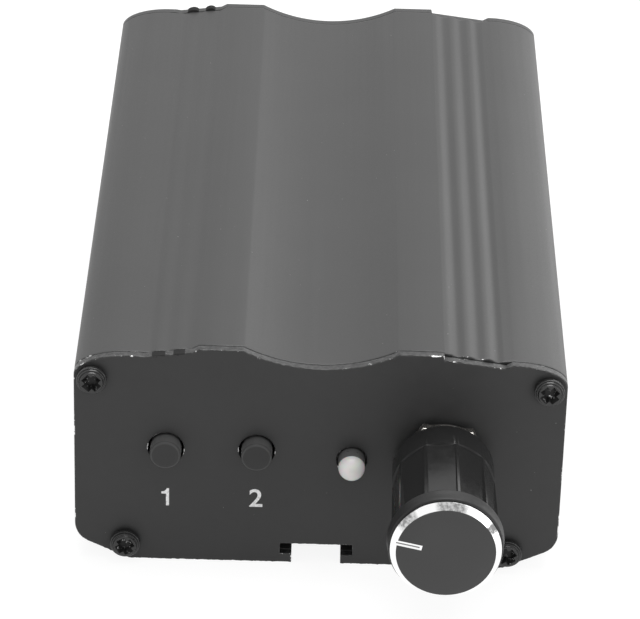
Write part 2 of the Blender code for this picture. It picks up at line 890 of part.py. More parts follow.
def build_switch(number, x):
    """A tact switch: its base, snap dome and cover, and the button that stands out of the plate."""
    flange_radius = button_radius + button_flange_width
    pocket_radius = flange_radius + button_clearance
    width = 2 * (pocket_radius + switch_wall)
    dome_depth = seat_gap + button_flange_thickness + button_travel + switch_gap
    pocket_depth = dome_depth + switch_dome_rise + switch_dome_thickness + switch_gap
    depth = pocket_depth + switch_floor
    base_front = control_board_front - seat_gap - depth
    cover_front = base_front - switch_gap - switch_cover_thickness
    flange_back = base_front + seat_gap + button_flange_thickness

    base_mesh = box_mesh("switch_base", (width, depth, width), (0, depth / 2, 0))
    base = new_object(f"switch_{number}_base", base_mesh)
    pocket = round_hole_profile(pocket_radius, pocket_depth)
    tool = turned_cutter(f"switch_{number}_pocket", pocket, round_steps, face_front)
    combine(base, tool, "DIFFERENCE")
    settle(base)
    place(base, "black_plastic", (x, base_front, button_z))

    sheet = rectangle(0, 0, width, width)
    hole = circle(0, 0, button_radius + running_gap, round_steps)
    standing_outline(
        f"switch_{number}_cover",
        [sheet, hole],
        switch_cover_thickness,
        "nickel",
        cover_front,
        x=x,
        z=button_z,
    )

    dome_radius = pocket_radius - switch_gap
    crown_drop = switch_dome_rise / 3
    dome = [
        (0, 0),
        (dome_radius / 2, -crown_drop),
        (dome_radius, -switch_dome_rise),
        (dome_radius, -switch_dome_rise - switch_dome_thickness),
        (dome_radius / 2, -crown_drop - switch_dome_thickness),
        (0, -switch_dome_thickness),
    ]
    place_of_dome = (x, base_front + dome_depth, button_z)
    turned(f"switch_{number}_dome", dome, round_steps, "can_metal", place_of_dome, face_front)

    stem_front = flange_back + button_proud
    stem = [
        (0, stem_front),
        (button_radius - button_edge, stem_front),
        (button_radius, stem_front - button_edge),
        (button_radius, button_flange_thickness),
        (flange_radius, button_flange_thickness),
        (flange_radius, 0),
        (0, 0),
    ]
    place_of_stem = (x, flange_back, button_z)
    turned(f"button_{number}", stem, round_steps, "button_plastic", place_of_stem, face_front)


def build_lamp():
    """The lamp behind the front plate and its two leads."""
    flange_front = plate_thickness + seat_gap
    flange_radius = lamp_radius + lamp_flange_rim
    nose = arc(0, lamp_body_length - lamp_radius, lamp_radius, math.pi / 2, 0, arc_steps)
    profile = [(0, lamp_body_length)] + nose[1:]
    profile += [
        (lamp_radius, 0),
        (flange_radius, 0),
        (flange_radius, -lamp_flange_thickness),
        (0, -lamp_flange_thickness),
    ]
    turned("led_lamp", profile, round_steps, "milky_lens", (lamp_x, flange_front, lamp_z), face_front)
    lead_start = flange_front + lamp_flange_thickness + seat_gap
    lead_end = control_board_back + lead_reach
    length = lead_end - lead_start
    wire = [(0, length), (lead_radius, length), (lead_radius, 0), (0, 0)]
    for name, x in zip(("led_anode_lead", "led_cathode_lead"), lead_places()):
        turned(name, wire, arc_steps, "pin_metal", (x, lead_end, lamp_z), face_front)


def build_control_board():
    """The upright board behind the front plate, with holes for what passes through it."""
    terminal_hole = math.hypot(terminal_width, terminal_thickness) / 2 + board_hole_gap
    holes = [
        circle(x, header_pin_z, header_pin_radius + board_hole_gap, small_steps) for x in header_places()
    ]
    holes += [circle(x, lamp_z, lead_radius + board_hole_gap, small_steps) for x in lead_places()]
    holes += [circle(x, knob_z - terminal_drop, terminal_hole, small_steps) for x in terminal_places()]
    half_width = upper_channel_x - channel_radius - board_side_gap
    height = control_board_top - control_board_base
    sheet = rectangle(0, control_board_base + height / 2, 2 * half_width, height)
    standing_outline("control_board", [sheet] + holes, board_thickness, "board", control_board_front)


def build_main_board():
    """The flat board, its edges in the case's grooves."""
    pin_hole = header_pin_radius + board_hole_gap
    middle = (main_board_front + main_board_back) / 2
    sheet = rectangle(0, middle, 2 * (wall_x - seat_gap), main_board_length)
    holes = [circle(x, header_y, pin_hole, small_steps) for x in header_places()]
    mesh = outline_mesh("main_board", [sheet] + holes, board_thickness)
    smooth(mesh)
    place(new_object("main_board", mesh), "board", (0, 0, main_board_bottom))


def build_header():
    """A right-angle pin header: its block on the main board and its bent pins."""
    channel = header_pin_radius + board_hole_gap
    size = (header_pin_count * header_pitch, header_block_depth, header_block_height)
    block = new_object("header_block", box_mesh("header_block", size, (header_x, header_y, header_pin_z)))
    across = header_block_depth / 2 + channel + cut_overrun
    down = header_block_height / 2 + channel + cut_overrun
    y = header_y + channel - across / 2
    z = header_pin_z + channel - down / 2
    boxes = [((2 * channel, across, down), (x, y, z), 0) for x in header_places()]
    combine(block, cutter("header_channels", box_cutter_mesh("header_channels", boxes)), "DIFFERENCE")
    settle(block)
    place(block, "chip_plastic")
    front = control_board_front - seat_gap
    low = main_board_bottom - seat_gap
    for index, x in enumerate(header_places()):
        curve = bpy.data.curves.new("header_pin", "CURVE")
        curve.dimensions = "3D"
        curve.bevel_depth = header_pin_radius
        curve.bevel_resolution = 2
        curve.use_fill_caps = True
        route = ((x, front, header_pin_z), (x, header_y, header_pin_z), (x, header_y, low))
        spline = curve.splines.new("POLY")
        spline.points.add(len(route) - 1)
        for point, corner in zip(spline.points, route):
            point.co = (*corner, 1)
        mesh = mesh_from_curve("header_pin", curve)
        smooth(mesh)
        place(new_object(f"header_pin_{index + 1}", mesh), "pin_metal")


def build_chip():
    """The keyer's chip in its socket, with its crystal beside it."""
    well_width = socket_width - 2 * socket_rim
    well_length = socket_length - 2 * socket_rim
    ring = [
        rectangle(0, chip_y, socket_width, socket_length),
        rectangle(0, chip_y, well_width, well_length),
    ]
    mesh = outline_mesh("chip_socket", ring, socket_height)
    place(new_object("chip_socket", mesh), "chip_plastic", (0, 0, part_base))
    chip_base = part_base + socket_height + seat_gap
    low = (-chip_width / 2, chip_y - chip_length / 2, chip_base)
    high = (chip_width / 2, chip_y + chip_length / 2, chip_base + chip_height)
    box_between("keyer_chip", low, high, "chip_plastic")
    end = crystal_width / 2
    straight = (crystal_length - crystal_width) / 2
    can = arc(crystal_x, chip_y + straight, end, 0, math.pi, arc_steps)
    can += arc(crystal_x, chip_y - straight, end, math.pi, 2 * math.pi, arc_steps)
    mesh = outline_mesh("crystal", [can], crystal_height)
    smooth(mesh)
    place(new_object("crystal", mesh), "can_metal", (0, 0, part_base))


def build_round_parts():
    """The buzzer, the filter capacitor, the voltage regulator and the keying transistor."""
    hole_floor = buzzer_height - buzzer_hole_depth
    profile = [
        (0, hole_floor),
        (buzzer_hole_radius, hole_floor),
        (buzzer_hole_radius, buzzer_height),
        (buzzer_radius, buzzer_height),
        (buzzer_radius, 0),
        (0, 0),
    ]
    turned("buzzer", profile, round_steps, "chip_plastic", (buzzer_x, round_parts_y, part_base))
    neck = capacitor_radius - capacitor_groove
    groove_low = capacitor_groove_base
    profile = [
        (0, capacitor_height),
        (neck, capacitor_height),
        (capacitor_radius, capacitor_height - capacitor_groove),
        (capacitor_radius, groove_low + 2 * capacitor_groove),
        (neck, groove_low + capacitor_groove),
        (capacitor_radius, groove_low),
        (capacitor_radius, 0),
        (0, 0),
    ]
    place_of_can = (capacitor_x, round_parts_y, part_base)
    turned("filter_capacitor", profile, round_steps, "capacitor_sleeve", place_of_can)
    reach = math.asin(transistor_flat / transistor_radius)
    outline = arc(0, 0, transistor_radius, -reach, math.pi + reach, 2 * arc_steps)
    for name, x in (("voltage_regulator", regulator_x), ("keying_transistor", transistor_x)):
        mesh = outline_mesh(name, [outline], transistor_height)
        smooth(mesh)
        place(new_object(name, mesh), "chip_plastic", (x, round_parts_y, part_base))


def build_jack(name, x):
    """A 3.5 mm socket: its body on the board, and its threaded bushing and nut in the plate."""
    bushing_radius_of_jack = jack_bore_radius + jack_bushing_wall
    flange_radius = bushing_radius_of_jack + jack_flange_rim
    flange_back = rear_plate_front - seat_gap
    body_back = flange_back - jack_flange_thickness - seat_gap
    depth = jack_bore_depth + jack_floor
    size = (jack_width, depth, jack_height)
    middle = (0, -depth / 2, jack_height / 2 - jack_axis_height)
    body = new_object(f"{name}_body", box_mesh(f"{name}_body", size, middle))
    bore = round_hole_profile(jack_bore_radius, jack_bore_depth)
    combine(body, turned_cutter(f"{name}_bore", bore, small_steps, face_back), "DIFFERENCE")
    settle(body)
    place(body, "black_plastic", (x, body_back, jack_z))

    tube_end = rear_reach - flange_back
    profile = [
        (jack_bore_radius, tube_end),
        (bushing_radius_of_jack, tube_end),
        (bushing_radius_of_jack, 0),
        (flange_radius, 0),
        (flange_radius, -jack_flange_thickness),
        (jack_bore_radius, -jack_flange_thickness),
    ]
    turned(f"{name}_bushing", profile, round_steps, "nickel", (x, flange_back, jack_z), face_back)

    nut_hole = bushing_radius_of_jack + thread_gap
    nut_radius = nut_hole + jack_nut_wall
    profile = [
        (nut_hole, jack_nut_thickness),
        (nut_radius, jack_nut_thickness),
        (nut_radius, 0),
        (nut_hole, 0),
    ]
    turned(f"{name}_nut", profile, round_steps, "nickel", (x, rear_face + seat_gap, jack_z), face_back)


def build_power_jack():
    """The supply socket behind its hole in the rear plate, with its centre pin."""
    foot_radius = power_pin_radius + power_pin_foot
    seat_radius = foot_radius + seat_gap
    bore_floor = -power_bore_depth
    seat_floor = bore_floor - power_pin_base_length
    depth = power_bore_depth + power_pin_base_length + power_jack_floor
    width = 2 * (power_bore_radius + power_jack_wall)
    height = power_axis_height + power_bore_radius + power_jack_wall
    middle = (0, -depth / 2, height / 2 - power_axis_height)
    body = new_object("power_jack_body", box_mesh("power_jack_body", (width, depth, height), middle))
    profile = [
        (0, cut_overrun),
        (power_bore_radius, cut_overrun),
        (power_bore_radius, bore_floor),
        (seat_radius, bore_floor),
        (seat_radius, seat_floor),
        (0, seat_floor),
    ]
    combine(body, turned_cutter("power_jack_bore", profile, round_steps, face_back), "DIFFERENCE")
    settle(body)
    body_back = rear_plate_front - seat_gap
    place(body, "black_plastic", (power_jack_x, body_back, power_z))
    pin_foot = seat_floor + seat_gap
    pin_top = -power_pin_inset
    chamfer = power_pin_radius / 2
    profile = [
        (0, pin_top),
        (power_pin_radius - chamfer, pin_top),
        (power_pin_radius, pin_top - chamfer),
        (power_pin_radius, bore_floor),
        (foot_radius, bore_floor),
        (foot_radius, pin_foot),
        (0, pin_foot),
    ]
    place_of_pin = (power_jack_x, body_back, power_z)
    turned("power_jack_pin", profile, small_steps, "nickel", place_of_pin, face_back)


build_case()
build_plates()
build_screws()
build_pot_bushing()
build_pot_inside()
build_pot_fixing()
build_knob()
build_knob_cap()
for place_number, button_x in enumerate(button_places):
    build_switch(place_number + 1, button_x)
build_lamp()
build_control_board()
build_main_board()
build_header()
build_chip()
build_round_parts()
for jack_name, jack_x in zip(("paddle_jack", "output_jack"), jack_places):
    build_jack(jack_name, jack_x)
build_power_jack()
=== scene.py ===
import json
import math

import bmesh
import bpy
from mathutils import Matrix, Vector, noise
from mathutils.geometry import tessellate_polygon


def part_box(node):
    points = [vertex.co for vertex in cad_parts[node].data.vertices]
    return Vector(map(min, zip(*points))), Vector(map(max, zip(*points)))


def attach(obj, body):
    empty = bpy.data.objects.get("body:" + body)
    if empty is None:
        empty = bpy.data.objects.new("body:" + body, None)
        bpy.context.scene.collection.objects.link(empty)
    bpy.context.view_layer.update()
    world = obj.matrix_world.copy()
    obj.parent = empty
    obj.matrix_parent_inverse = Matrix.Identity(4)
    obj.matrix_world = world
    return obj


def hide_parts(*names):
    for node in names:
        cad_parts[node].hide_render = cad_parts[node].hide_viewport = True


# The looks of a desktop morse code keyer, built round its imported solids.
# Metres, +Z up, the front plate faces -Y. Visible solids get finer meshes, and the inner ones
# keep their shape and get their finish.

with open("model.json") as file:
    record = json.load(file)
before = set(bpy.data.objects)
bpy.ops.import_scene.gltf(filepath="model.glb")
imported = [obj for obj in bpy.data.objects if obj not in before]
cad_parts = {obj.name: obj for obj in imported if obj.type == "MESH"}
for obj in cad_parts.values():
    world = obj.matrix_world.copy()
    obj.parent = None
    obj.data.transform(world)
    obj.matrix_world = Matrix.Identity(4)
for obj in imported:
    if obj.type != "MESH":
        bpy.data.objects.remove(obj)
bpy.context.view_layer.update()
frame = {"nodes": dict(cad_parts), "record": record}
nodes = frame["nodes"]

# ---- camera ----
image_width = 640
focal_pixels = 3570.06
sensor_width = 36
camera_target = Vector((-0.00022, 0.0004, 0.01166))
camera_distance = 0.4365
camera_elevation = 0.510935
camera_yaw = -0.002618
camera_roll = 0.028754


def linked(name, data):
    """Put data into the scene as an object."""
    obj = bpy.data.objects.new(name, data)
    bpy.context.scene.collection.objects.link(obj)
    return obj


def build_camera():
    """The photograph's view."""
    away = Vector((
        math.sin(camera_yaw) * math.cos(camera_elevation),
        -math.cos(camera_yaw) * math.cos(camera_elevation),
        math.sin(camera_elevation),
    ))
    level = (-away).cross(Vector((0, 0, 1))).normalized()
    rise = level.cross(-away)
    right = level * math.cos(camera_roll) + rise * math.sin(camera_roll)
    up = rise * math.cos(camera_roll) - level * math.sin(camera_roll)
    data = bpy.data.cameras.new("camera")
    data.lens = focal_pixels / image_width * sensor_width
    data.sensor_width = sensor_width
    data.sensor_fit = "HORIZONTAL"
    data.clip_start = 0.01
    camera = linked("camera", data)
    matrix = Matrix((right, up, away)).transposed().to_4x4()
    matrix.translation = camera_target + away * camera_distance
    camera.matrix_world = matrix
    bpy.context.scene.camera = camera


# ---- sizes, most of them the solids' own ----
plate_front = -0.0381
plate_thickness = 0.001
plate_pitch = 0.0915
seat_gap = 0.00025
front_seam = 0.00008
rear_seam = 0.00002
case_front = plate_front + plate_thickness + front_seam
rear_plate_front = plate_front + plate_pitch
case_back = rear_plate_front - rear_seam
rear_face = rear_plate_front + plate_thickness

case_half = 0.0275
case_height = 0.0277
case_wall = 0.0016
valley_half_width = 0.0087
valley_depth = 0.0021
plateau_edge = 0.0136
ridge_drop = 0.0002
ridge_places = {"right": (0.01395, 0.01622, 0.0185, 0.0206), "left": (0.0136, 0.0159, 0.0182, 0.0198)}
ridge_half_width = 0.00008
groove_depths = {"right": 0.00024, "left": 0.00008}
band_drops = {"right": 0.0, "left": 0.0001}
plateau_slopes = {"right": 0.0, "left": 0.0007}

# The plates' edge along the bands. A bump's place counts from the plateau, with half its width.
rim_start = plateau_edge + 0.00015
rim_end_gap = 0.0001
rim_run_out = 0.0007
rim_depths = {"right": 0.0003, "left": 0.00012}
rim_bumps = ((0.0022, 0.00064), (0.0045, 0.00074))
bump_heights = {"front": 0.0, "rear": 0.00032}
bump_roundness = 0.7
plate_outline_step = 0.00018

shoulder_width = 0.0062
shoulder_drop = 0.0026
shoulder_x = case_half - shoulder_width
shoulder_top = 0.0267
shoulder_z = shoulder_top - shoulder_drop
shoulder_step = 0.00008
band_edge = 0.0205
band_width = band_edge - plateau_edge
corner_radius = 0.00275
slant_angle = math.radians(25)
slant_foot = 0.0214
slot_half_opening = 0.0028
slot_half = 0.00413
slot_lip = 0.00115
slot_depth = 0.0025
slot_roof = 0.0015

channel_bore = 0.0011
channel_radius = 0.00195
upper_channel = (0.02546, 0.023742)
lower_channel = (0.02177, 0.00233)
rail_height = 0.00475
rail_depth = 0.0019
rail_thickness = 0.001
board_slot = 0.0021

knob_x = 0.01395
knob_z = 0.0144
button_places = (-0.0172, -0.00697)
button_z = 0.0148
button_radius = 0.00175
button_hole_radius = 0.00202
button_hole_chamfer = 0.0001
# Where the edge of each button's hole carries a painted glint, in degrees.
glint_stretches = (((162, 188), (-12, -2)), ((170, 187), (-12, 0)))
lamp_x = 0.00373
lamp_z = 0.0139
lamp_radius = 0.0015
lamp_hole_radius = lamp_radius + 0.0002
bushing_hole_radius = 0.0037

jack_places = {"paddle_jack": 0.0155, "output_jack": 0.0015}
jack_z = 0.01285
jack_bore = 0.0018
jack_bushing_radius = 0.003
jack_hole_radius = jack_bushing_radius + 0.0002
power_jack_x = -0.0155
power_z = 0.01335
power_hole_radius = 0.0033


# ---- materials ----
# Painted dark reflections on the cap's bevel: middle angle, half width and how much darker.
painted_reflection_stretches = ((1.5, 0.27, 0.8), (2.42, 0.2, 0.8), (0.55, 0.1, 1.6))


def wired(tree, kind, inputs=None, **fields):
    """Add a node, set its fields and feed its inputs with values or other outputs."""
    made = tree.nodes.new(kind)
    for field, value in fields.items():
        setattr(made, field, value)
    for socket, value in (inputs or {}).items():
        if isinstance(value, bpy.types.NodeSocket):
            tree.links.new(value, made.inputs[socket])
        else:
            made.inputs[socket].default_value = value
    return made


class Finish:
    """A procedural material, made from nodes on one Principled shader."""

    def __init__(self, name, roughness, metallic=0.0, **constants):
        self.material = bpy.data.materials.new(name)
        self.material.use_nodes = True
        self.tree = self.material.node_tree
        self.shader = self.tree.nodes["Principled BSDF"]
        for socket, value in {"Roughness": roughness, "Metallic": metallic, **constants}.items():
            self.shader.inputs[socket.replace("_", " ")].default_value = value
        self.place = self.node("ShaderNodeTexCoord").outputs["Object"]

    def node(self, kind, inputs=None, **fields):
        """Add a node to this material."""
        return wired(self.tree, kind, inputs, **fields)

    def vector(self, operation, first, *second):
        """One vector operation."""
        inputs = dict(enumerate((first, *second)))
        return self.node("ShaderNodeVectorMath", inputs, operation=operation).outputs

    def from_knob_axis(self):
        """Object coordinates, counted from the knob's axis."""
        return self.vector("ADD", self.place, (-knob_x, 0, -knob_z))[0]

    def noise(self, scale, detail, roughness=0.5, stretch=None, place=None):
        """Noise from 0 to 1."""
        place = place or self.place
        if stretch:
            place = self.node("ShaderNodeMapping", {"Vector": place, "Scale": stretch}).outputs[0]
        inputs = {"Vector": place, "Scale": scale, "Detail": detail, "Roughness": roughness}
        return self.node("ShaderNodeTexNoise", inputs).outputs["Fac"]

    def spread(self, value, low, high, new_low=0.0, new_high=1.0):
        """Map a range of a value to another range."""
        inputs = {"Value": value, "From Min": low, "From Max": high, "To Min": new_low, "To Max": new_high}
        return self.node("ShaderNodeMapRange", inputs).outputs["Result"]

    def math(self, operation, first, second):
        """One sum on two values."""
        return self.node("ShaderNodeMath", {0: first, 1: second}, operation=operation).outputs[0]

    def mix(self, factor, *colours):
        """Mix two colours."""
        inputs = {0: factor}
        for socket, colour in zip((6, 7), colours):
            inputs[socket] = colour if isinstance(colour, bpy.types.NodeSocket) else (*colour, 1)
        return self.node("ShaderNodeMix", inputs, data_type="RGBA").outputs[2]

    def feed(self, socket, output):
        """Drive one of the shader's inputs."""
        self.tree.links.new(output, self.shader.inputs[socket])

    def bump(self, height, distance, strength):
        """Small relief."""
        inputs = {"Height": height, "Distance": distance, "Strength": strength}
        self.feed("Normal", self.node("ShaderNodeBump", inputs).outputs["Normal"])


def grey(value):
    """A neutral colour."""
    return (value, value, value)


def scaled(tone, share):
    """A lighter or darker tone."""
    return tuple(channel * share for channel in tone)


def anodised(name, tone, roughness, streaks, gloss):
    """Satin black anodising: fine grain, faint lengthwise streaks and sparse pale specks."""
    finish = Finish(name, roughness, Specular_IOR_Level=gloss)
    cloud = finish.noise(90, 3)
    streak = finish.noise(1, 4, stretch=streaks)
    tint = finish.math("ADD", cloud, streak)
    colour = finish.mix(finish.spread(tint, 0.75, 1.25), grey(tone * 0.94), grey(tone * 1.07))
    specks = finish.spread(finish.noise(2600, 2, 0.6), 0.765, 0.8)
    finish.feed("Base Color", finish.mix(specks, colour, grey(0.35)))
    grain = finish.noise(5200, 2, 0.7)
    rough = finish.spread(finish.math("ADD", streak, grain), 0.7, 1.3, roughness - 0.05, roughness + 0.05)
    finish.feed("Roughness", rough)
    finish.bump(finish.math("ADD", grain, specks), 0.00001, 0.5)
    return finish.material


def worn(name, tone, coverage):
    """An edge where bare aluminium shows through black anodising in broken specks."""
    finish = Finish(name, 0.35)
    patch = finish.noise(1500, 4, 0.7)
    region = finish.noise(260, 2)
    bare = finish.spread(finish.math("ADD", patch, region), 1.16 - coverage, 1.22 - coverage)
    blotches = finish.spread(finish.noise(2300, 3, 0.7), 0.4, 0.62)
    coat = finish.mix(blotches, grey(tone * 1.3), grey(tone * 0.2))
    finish.feed("Base Color", finish.mix(bare, coat, grey(0.75)))
    finish.feed("Metallic", bare)
    finish.bump(patch, 0.00008, 0.9)
    return finish.material


def plastic(name, tone, roughness, grain_depth, **constants):
    """Moulded plastic with a faint skin."""
    finish = Finish(name, roughness, **constants)
    skin = finish.noise(1800, 3)
    cloud = finish.noise(150, 2)
    finish.feed("Base Color", finish.mix(cloud, scaled(tone, 0.85), scaled(tone, 1.15)))
    finish.feed("Roughness", finish.spread(skin, 0.3, 0.7, roughness - 0.04, roughness + 0.04))
    finish.bump(skin, grain_depth, 0.4)
    return finish.material


def glinting(name, tone, roughness):
    """Walls painted a little darker than the head as painted shade, where a few spots are rubbed bright."""
    finish = Finish(name, roughness, Specular_IOR_Level=0.25)
    marks = finish.noise(2600, 3, 0.6)
    rubbed = finish.spread(marks, 0.62, 0.7)
    finish.feed("Base Color", finish.mix(rubbed, tone, grey(0.7)))
    finish.feed("Metallic", rubbed)
    finish.bump(marks, 0.00006, 0.8)
    return finish.material


def metal(name, tone, roughness):
    """Bare or plated metal with fine marks."""
    finish = Finish(name, roughness, 1.0)
    marks = finish.noise(1400, 4, 0.6)
    finish.feed("Base Color", finish.mix(marks, scaled(tone, 0.86), tone))
    finish.feed("Roughness", finish.spread(marks, 0.3, 0.7, roughness - 0.07, roughness + 0.07))
    finish.bump(marks, 0.000002, 0.5)
    return finish.material


def turned_face(name, tone, roughness):
    """A face turned on a lathe: very fine rings round the knob's axis."""
    finish = Finish(name, roughness, Anisotropic=0.6)
    flat = finish.vector("MULTIPLY", finish.from_knob_axis(), (1, 0, 1))[0]
    away = finish.vector("LENGTH", flat)["Value"]
    rings = finish.noise(9000, 4, 0.6, place=finish.node("ShaderNodeCombineXYZ", {"X": away}).outputs[0])
    cloud = finish.noise(220, 2)
    colour = finish.mix(finish.spread(rings, 0.3, 0.7), grey(tone * 0.9), grey(tone * 1.1))
    finish.feed("Base Color", finish.mix(cloud, colour, grey(tone)))
    finish.feed("Roughness", finish.spread(rings, 0.3, 0.7, roughness - 0.03, roughness + 0.03))
    finish.bump(rings, 0.000003, 0.6)
    finish.feed("Tangent", finish.vector("CROSS_PRODUCT", flat, (0, 1, 0))[0])
    return finish.material


def diamond_cut(name):
    """The cap's bright bevel, with stretches of painted dark reflection round it, broken by tool marks."""
    finish = Finish(name, 0.16, 1.0)
    parts = finish.node("ShaderNodeSeparateXYZ", {0: finish.from_knob_axis()}).outputs
    angle = finish.math("ARCTAN2", parts["Z"], parts["X"])
    marks = finish.noise(2400, 3, 0.6)
    dark_reflection = None
    for middle, reach, depth in painted_reflection_stretches:
        away = finish.math("ABSOLUTE", finish.math("SUBTRACT", angle, middle), 0.0)
        patch = finish.spread(away, reach - 0.05, reach + 0.05, depth, 0.0)
        dark_reflection = finish.math("ADD", dark_reflection, patch) if dark_reflection else patch
    # The stretches pull the bevel towards dark grey: painted reflections of the dark case and plate.
    streaks = finish.math("MULTIPLY", dark_reflection, finish.spread(marks, 0.35, 0.6, 0.45, 1.0))
    finish.feed("Base Color", finish.mix(streaks, grey(0.97), grey(0.12)))
    finish.feed("Roughness", finish.spread(marks, 0.3, 0.7, 0.10, 0.2))
    finish.bump(marks, 0.000002, 0.4)
    return finish.material


def milky(name):
    """Diffused clear plastic."""
    finish = Finish(name, 0.22, Subsurface_Weight=0.55, Subsurface_Scale=0.0012, IOR=1.5)
    cloud = finish.noise(900, 3)
    finish.feed("Base Color", finish.mix(cloud, (0.74, 0.74, 0.73), (0.82, 0.82, 0.81)))
    finish.bump(cloud, 0.000004, 0.3)
    return finish.material


def printed(name):
    """White printing with slightly uneven cover."""
    finish = Finish(name, 0.45)
    cover = finish.noise(3800, 3, 0.6)
    finish.feed("Base Color", finish.mix(finish.spread(cover, 0.3, 0.6), grey(0.62), grey(0.92)))
    finish.bump(cover, 0.000004, 0.4)
    return finish.material


def circuit_board(name):
    """Green solder mask over faint tracks."""
    finish = Finish(name, 0.4)
    inputs = {"Vector": finish.place, "Scale": 220, "Mortar Size": 0.02}
    tracks = finish.node("ShaderNodeTexBrick", inputs).outputs["Fac"]
    mask = finish.mix(finish.noise(300, 3), (0.012, 0.10, 0.04), (0.02, 0.15, 0.06))
    finish.feed("Base Color", finish.mix(tracks, mask, (0.03, 0.2, 0.09)))
    finish.bump(tracks, 0.00002, 0.4)
    return finish.material


materials = {
    "case": anodised("case_anodised", 0.03, 0.42, (900, 14, 900), 0.5),
    "plate": anodised("plate_anodised", 0.03, 0.5, (700, 700, 700), 0.35),
    # Near black and matte: painted shade on the plates' edge bumps.
    "bump_painted_shade": plastic("bump_painted_shade", grey(0.03), 0.7, 0.00001, Specular_IOR_Level=0.04),
    "cut_edge": worn("cut_edge", 0.035, -0.06),
    "worn_edge": worn("worn_edge", 0.03, -0.05),
    "chipped_edge": worn("chipped_edge", 0.03, 0.02),
    # Pale flat plastic: painted glints on the edges of the buttons' holes.
    "painted_glint_edge": plastic("painted_glint_edge", grey(0.85), 0.35, 0.000004),
    "screw": plastic("black_oxide", grey(0.018), 0.24, 0.000014, IOR=1.5),
    # A little darker than the screw's head: painted shade in the recess.
    "recess": glinting("recess_shade", grey(0.014), 0.5),
    "knob": plastic("knob_plastic", grey(0.014), 0.22, 0.0000012),
    "collar": plastic("knob_collar", grey(0.014), 0.45, 0.000002, Specular_IOR_Level=0.3),
    "button": plastic("button_plastic", grey(0.045), 0.6, 0.000003, Specular_IOR_Level=0.15),
    # Lighter copies of the button plastic for the stems' rounded corners and sides: painted light where they
    # stand in shade.
    "button_corner_painted_light": plastic("button_corner_painted_light", grey(0.055), 0.5, 0.000003, Specular_IOR_Level=0.3),
    "button_stem": plastic("button_stem", grey(0.1), 0.5, 0.000003, Specular_IOR_Level=0.3),
    "plastic": plastic("black_plastic", grey(0.02), 0.4, 0.000006),
    "cap_face": turned_face("cap_face", 0.028, 0.34),
    "bevel": diamond_cut("cap_bevel"),
    "pointer": metal("pointer_floor", grey(0.2), 0.4),
    "nickel": metal("nickel", (0.62, 0.6, 0.57), 0.26),
    "dark_washer_metal": metal("dark_washer_metal", (0.16, 0.155, 0.15), 0.5),
    "brass": metal("brass", (0.75, 0.55, 0.25), 0.35),
    "lens": milky("milky_lens"),
    # Grey plastic for the lamp's body behind its nose: painted shade on what is the same milky plastic.
    "lens_root_painted_shade": plastic("lens_root_painted_shade", grey(0.12), 0.3, 0.000004),
    "print": printed("printing"),
    "board": circuit_board("circuit_board"),
    "pin": metal("tinned_pin", (0.72, 0.66, 0.5), 0.3),
    "chip": plastic("chip_plastic", grey(0.02), 0.55, 0.00001),
    "can": metal("can_metal", (0.65, 0.65, 0.65), 0.28),
    "sleeve": plastic("sleeve", (0.012, 0.02, 0.06), 0.35, 0.000004),
}

inner_finish = {
    "black_plastic": "plastic",
    "nickel": "nickel",
    "brass": "brass",
    "board": "board",
    "pin_metal": "pin",
    "chip_plastic": "chip",
    "can_metal": "can",
    "capacitor_sleeve": "sleeve",
    "case_extrusion": "case",
    "plate": "plate",
    "black_steel": "screw",
    "button_plastic": "button",
    "bright_aluminium": "bevel",
    "milky_lens": "lens",
}


def finish_inner_nodes():
    """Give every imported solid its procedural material."""
    for entry in frame["record"]["subparts"]:
        node = nodes[entry["node"]]
        node.data.materials.clear()
        node.data.materials.append(materials[inner_finish[entry["material_slot"]]])


# ---- outlines in X and Z, and profiles ----
on_axis = 1e-7


def arc(x, z, radius, start, end, steps=4):
    """Points along an arc, ends included. In a turned profile X is the radius and Z the reach."""
    turn = (end - start) / steps
    angles = [start + index * turn for index in range(steps + 1)]
    return [(x + radius * math.cos(angle), z + radius * math.sin(angle)) for angle in angles]


def shoulder():
    """The flattened round between the top and the side."""
    turns = arc(0, 0, 1, math.pi / 2, 0, 32)
    return [(shoulder_x + shoulder_width * x, shoulder_z + shoulder_drop * z) for x, z in turns]


def circle(x, z, radius, steps=64):
    """A closed round outline."""
    return arc(x, z, radius, 0, 2 * math.pi, steps)[:-1]


def mirrored(right, left):
    """Close two halves that run from the top's middle to the bottom's, both given at positive X."""
    return right + [(-x, z) for x, z in reversed(left) if x > on_axis]


def band_height(x):
    """Height of the ridges between the plateau and the shoulder."""
    inner = case_height - ridge_drop
    outer = shoulder_top - shoulder_step
    return inner + (outer - inner) * (x - plateau_edge) / band_width


def valley(radius_growth=0.0):
    """The concave middle of the top, from its centre outwards."""
    radius = (valley_half_width ** 2 + valley_depth ** 2) / (2 * valley_depth)
    reach = math.asin(valley_half_width / radius)
    centre = case_height - valley_depth + radius
    return arc(0, centre, radius + radius_growth, -math.pi / 2, -math.pi / 2 + reach, 24)


def grooved_band(side):
    """Round-bottomed grooves with narrow ridges between them."""
    drop = band_drops[side]
    points = [(plateau_edge, band_height(plateau_edge) - drop)]
    steps = 16
    for low, high in zip(ridge_places[side], ridge_places[side][1:]):
        middle = (low + high) / 2
        reach = (high - low) / 2 - ridge_half_width
        for step in range(steps + 1):
            share = 2 * step / steps - 1
            x = middle + share * reach
            sink = 0.5 + 0.5 * math.cos(math.pi * share)
            points.append((x, band_height(x) - drop - groove_depths[side] * sink))
    return points


def smooth_band(side, height):
    """The plates' edge along the ribbed band, with two low bumps on the left."""
    steps = 60
    rim_end = ridge_places[side][-1] - rim_end_gap
    points = []
    for step in range(steps + 1):
        x = rim_start + (rim_end - rim_start) * step / steps
        z = band_height(x) - rim_depths[side]
        for place, reach in rim_bumps:
            share = abs(x - plateau_edge - place) / reach
            if side == "left" and share < 1:
                z += height * (1 - share ** 2) ** bump_roundness
        points.append((x, z))
    points.append((rim_end + rim_run_out, shoulder_top))
    return points


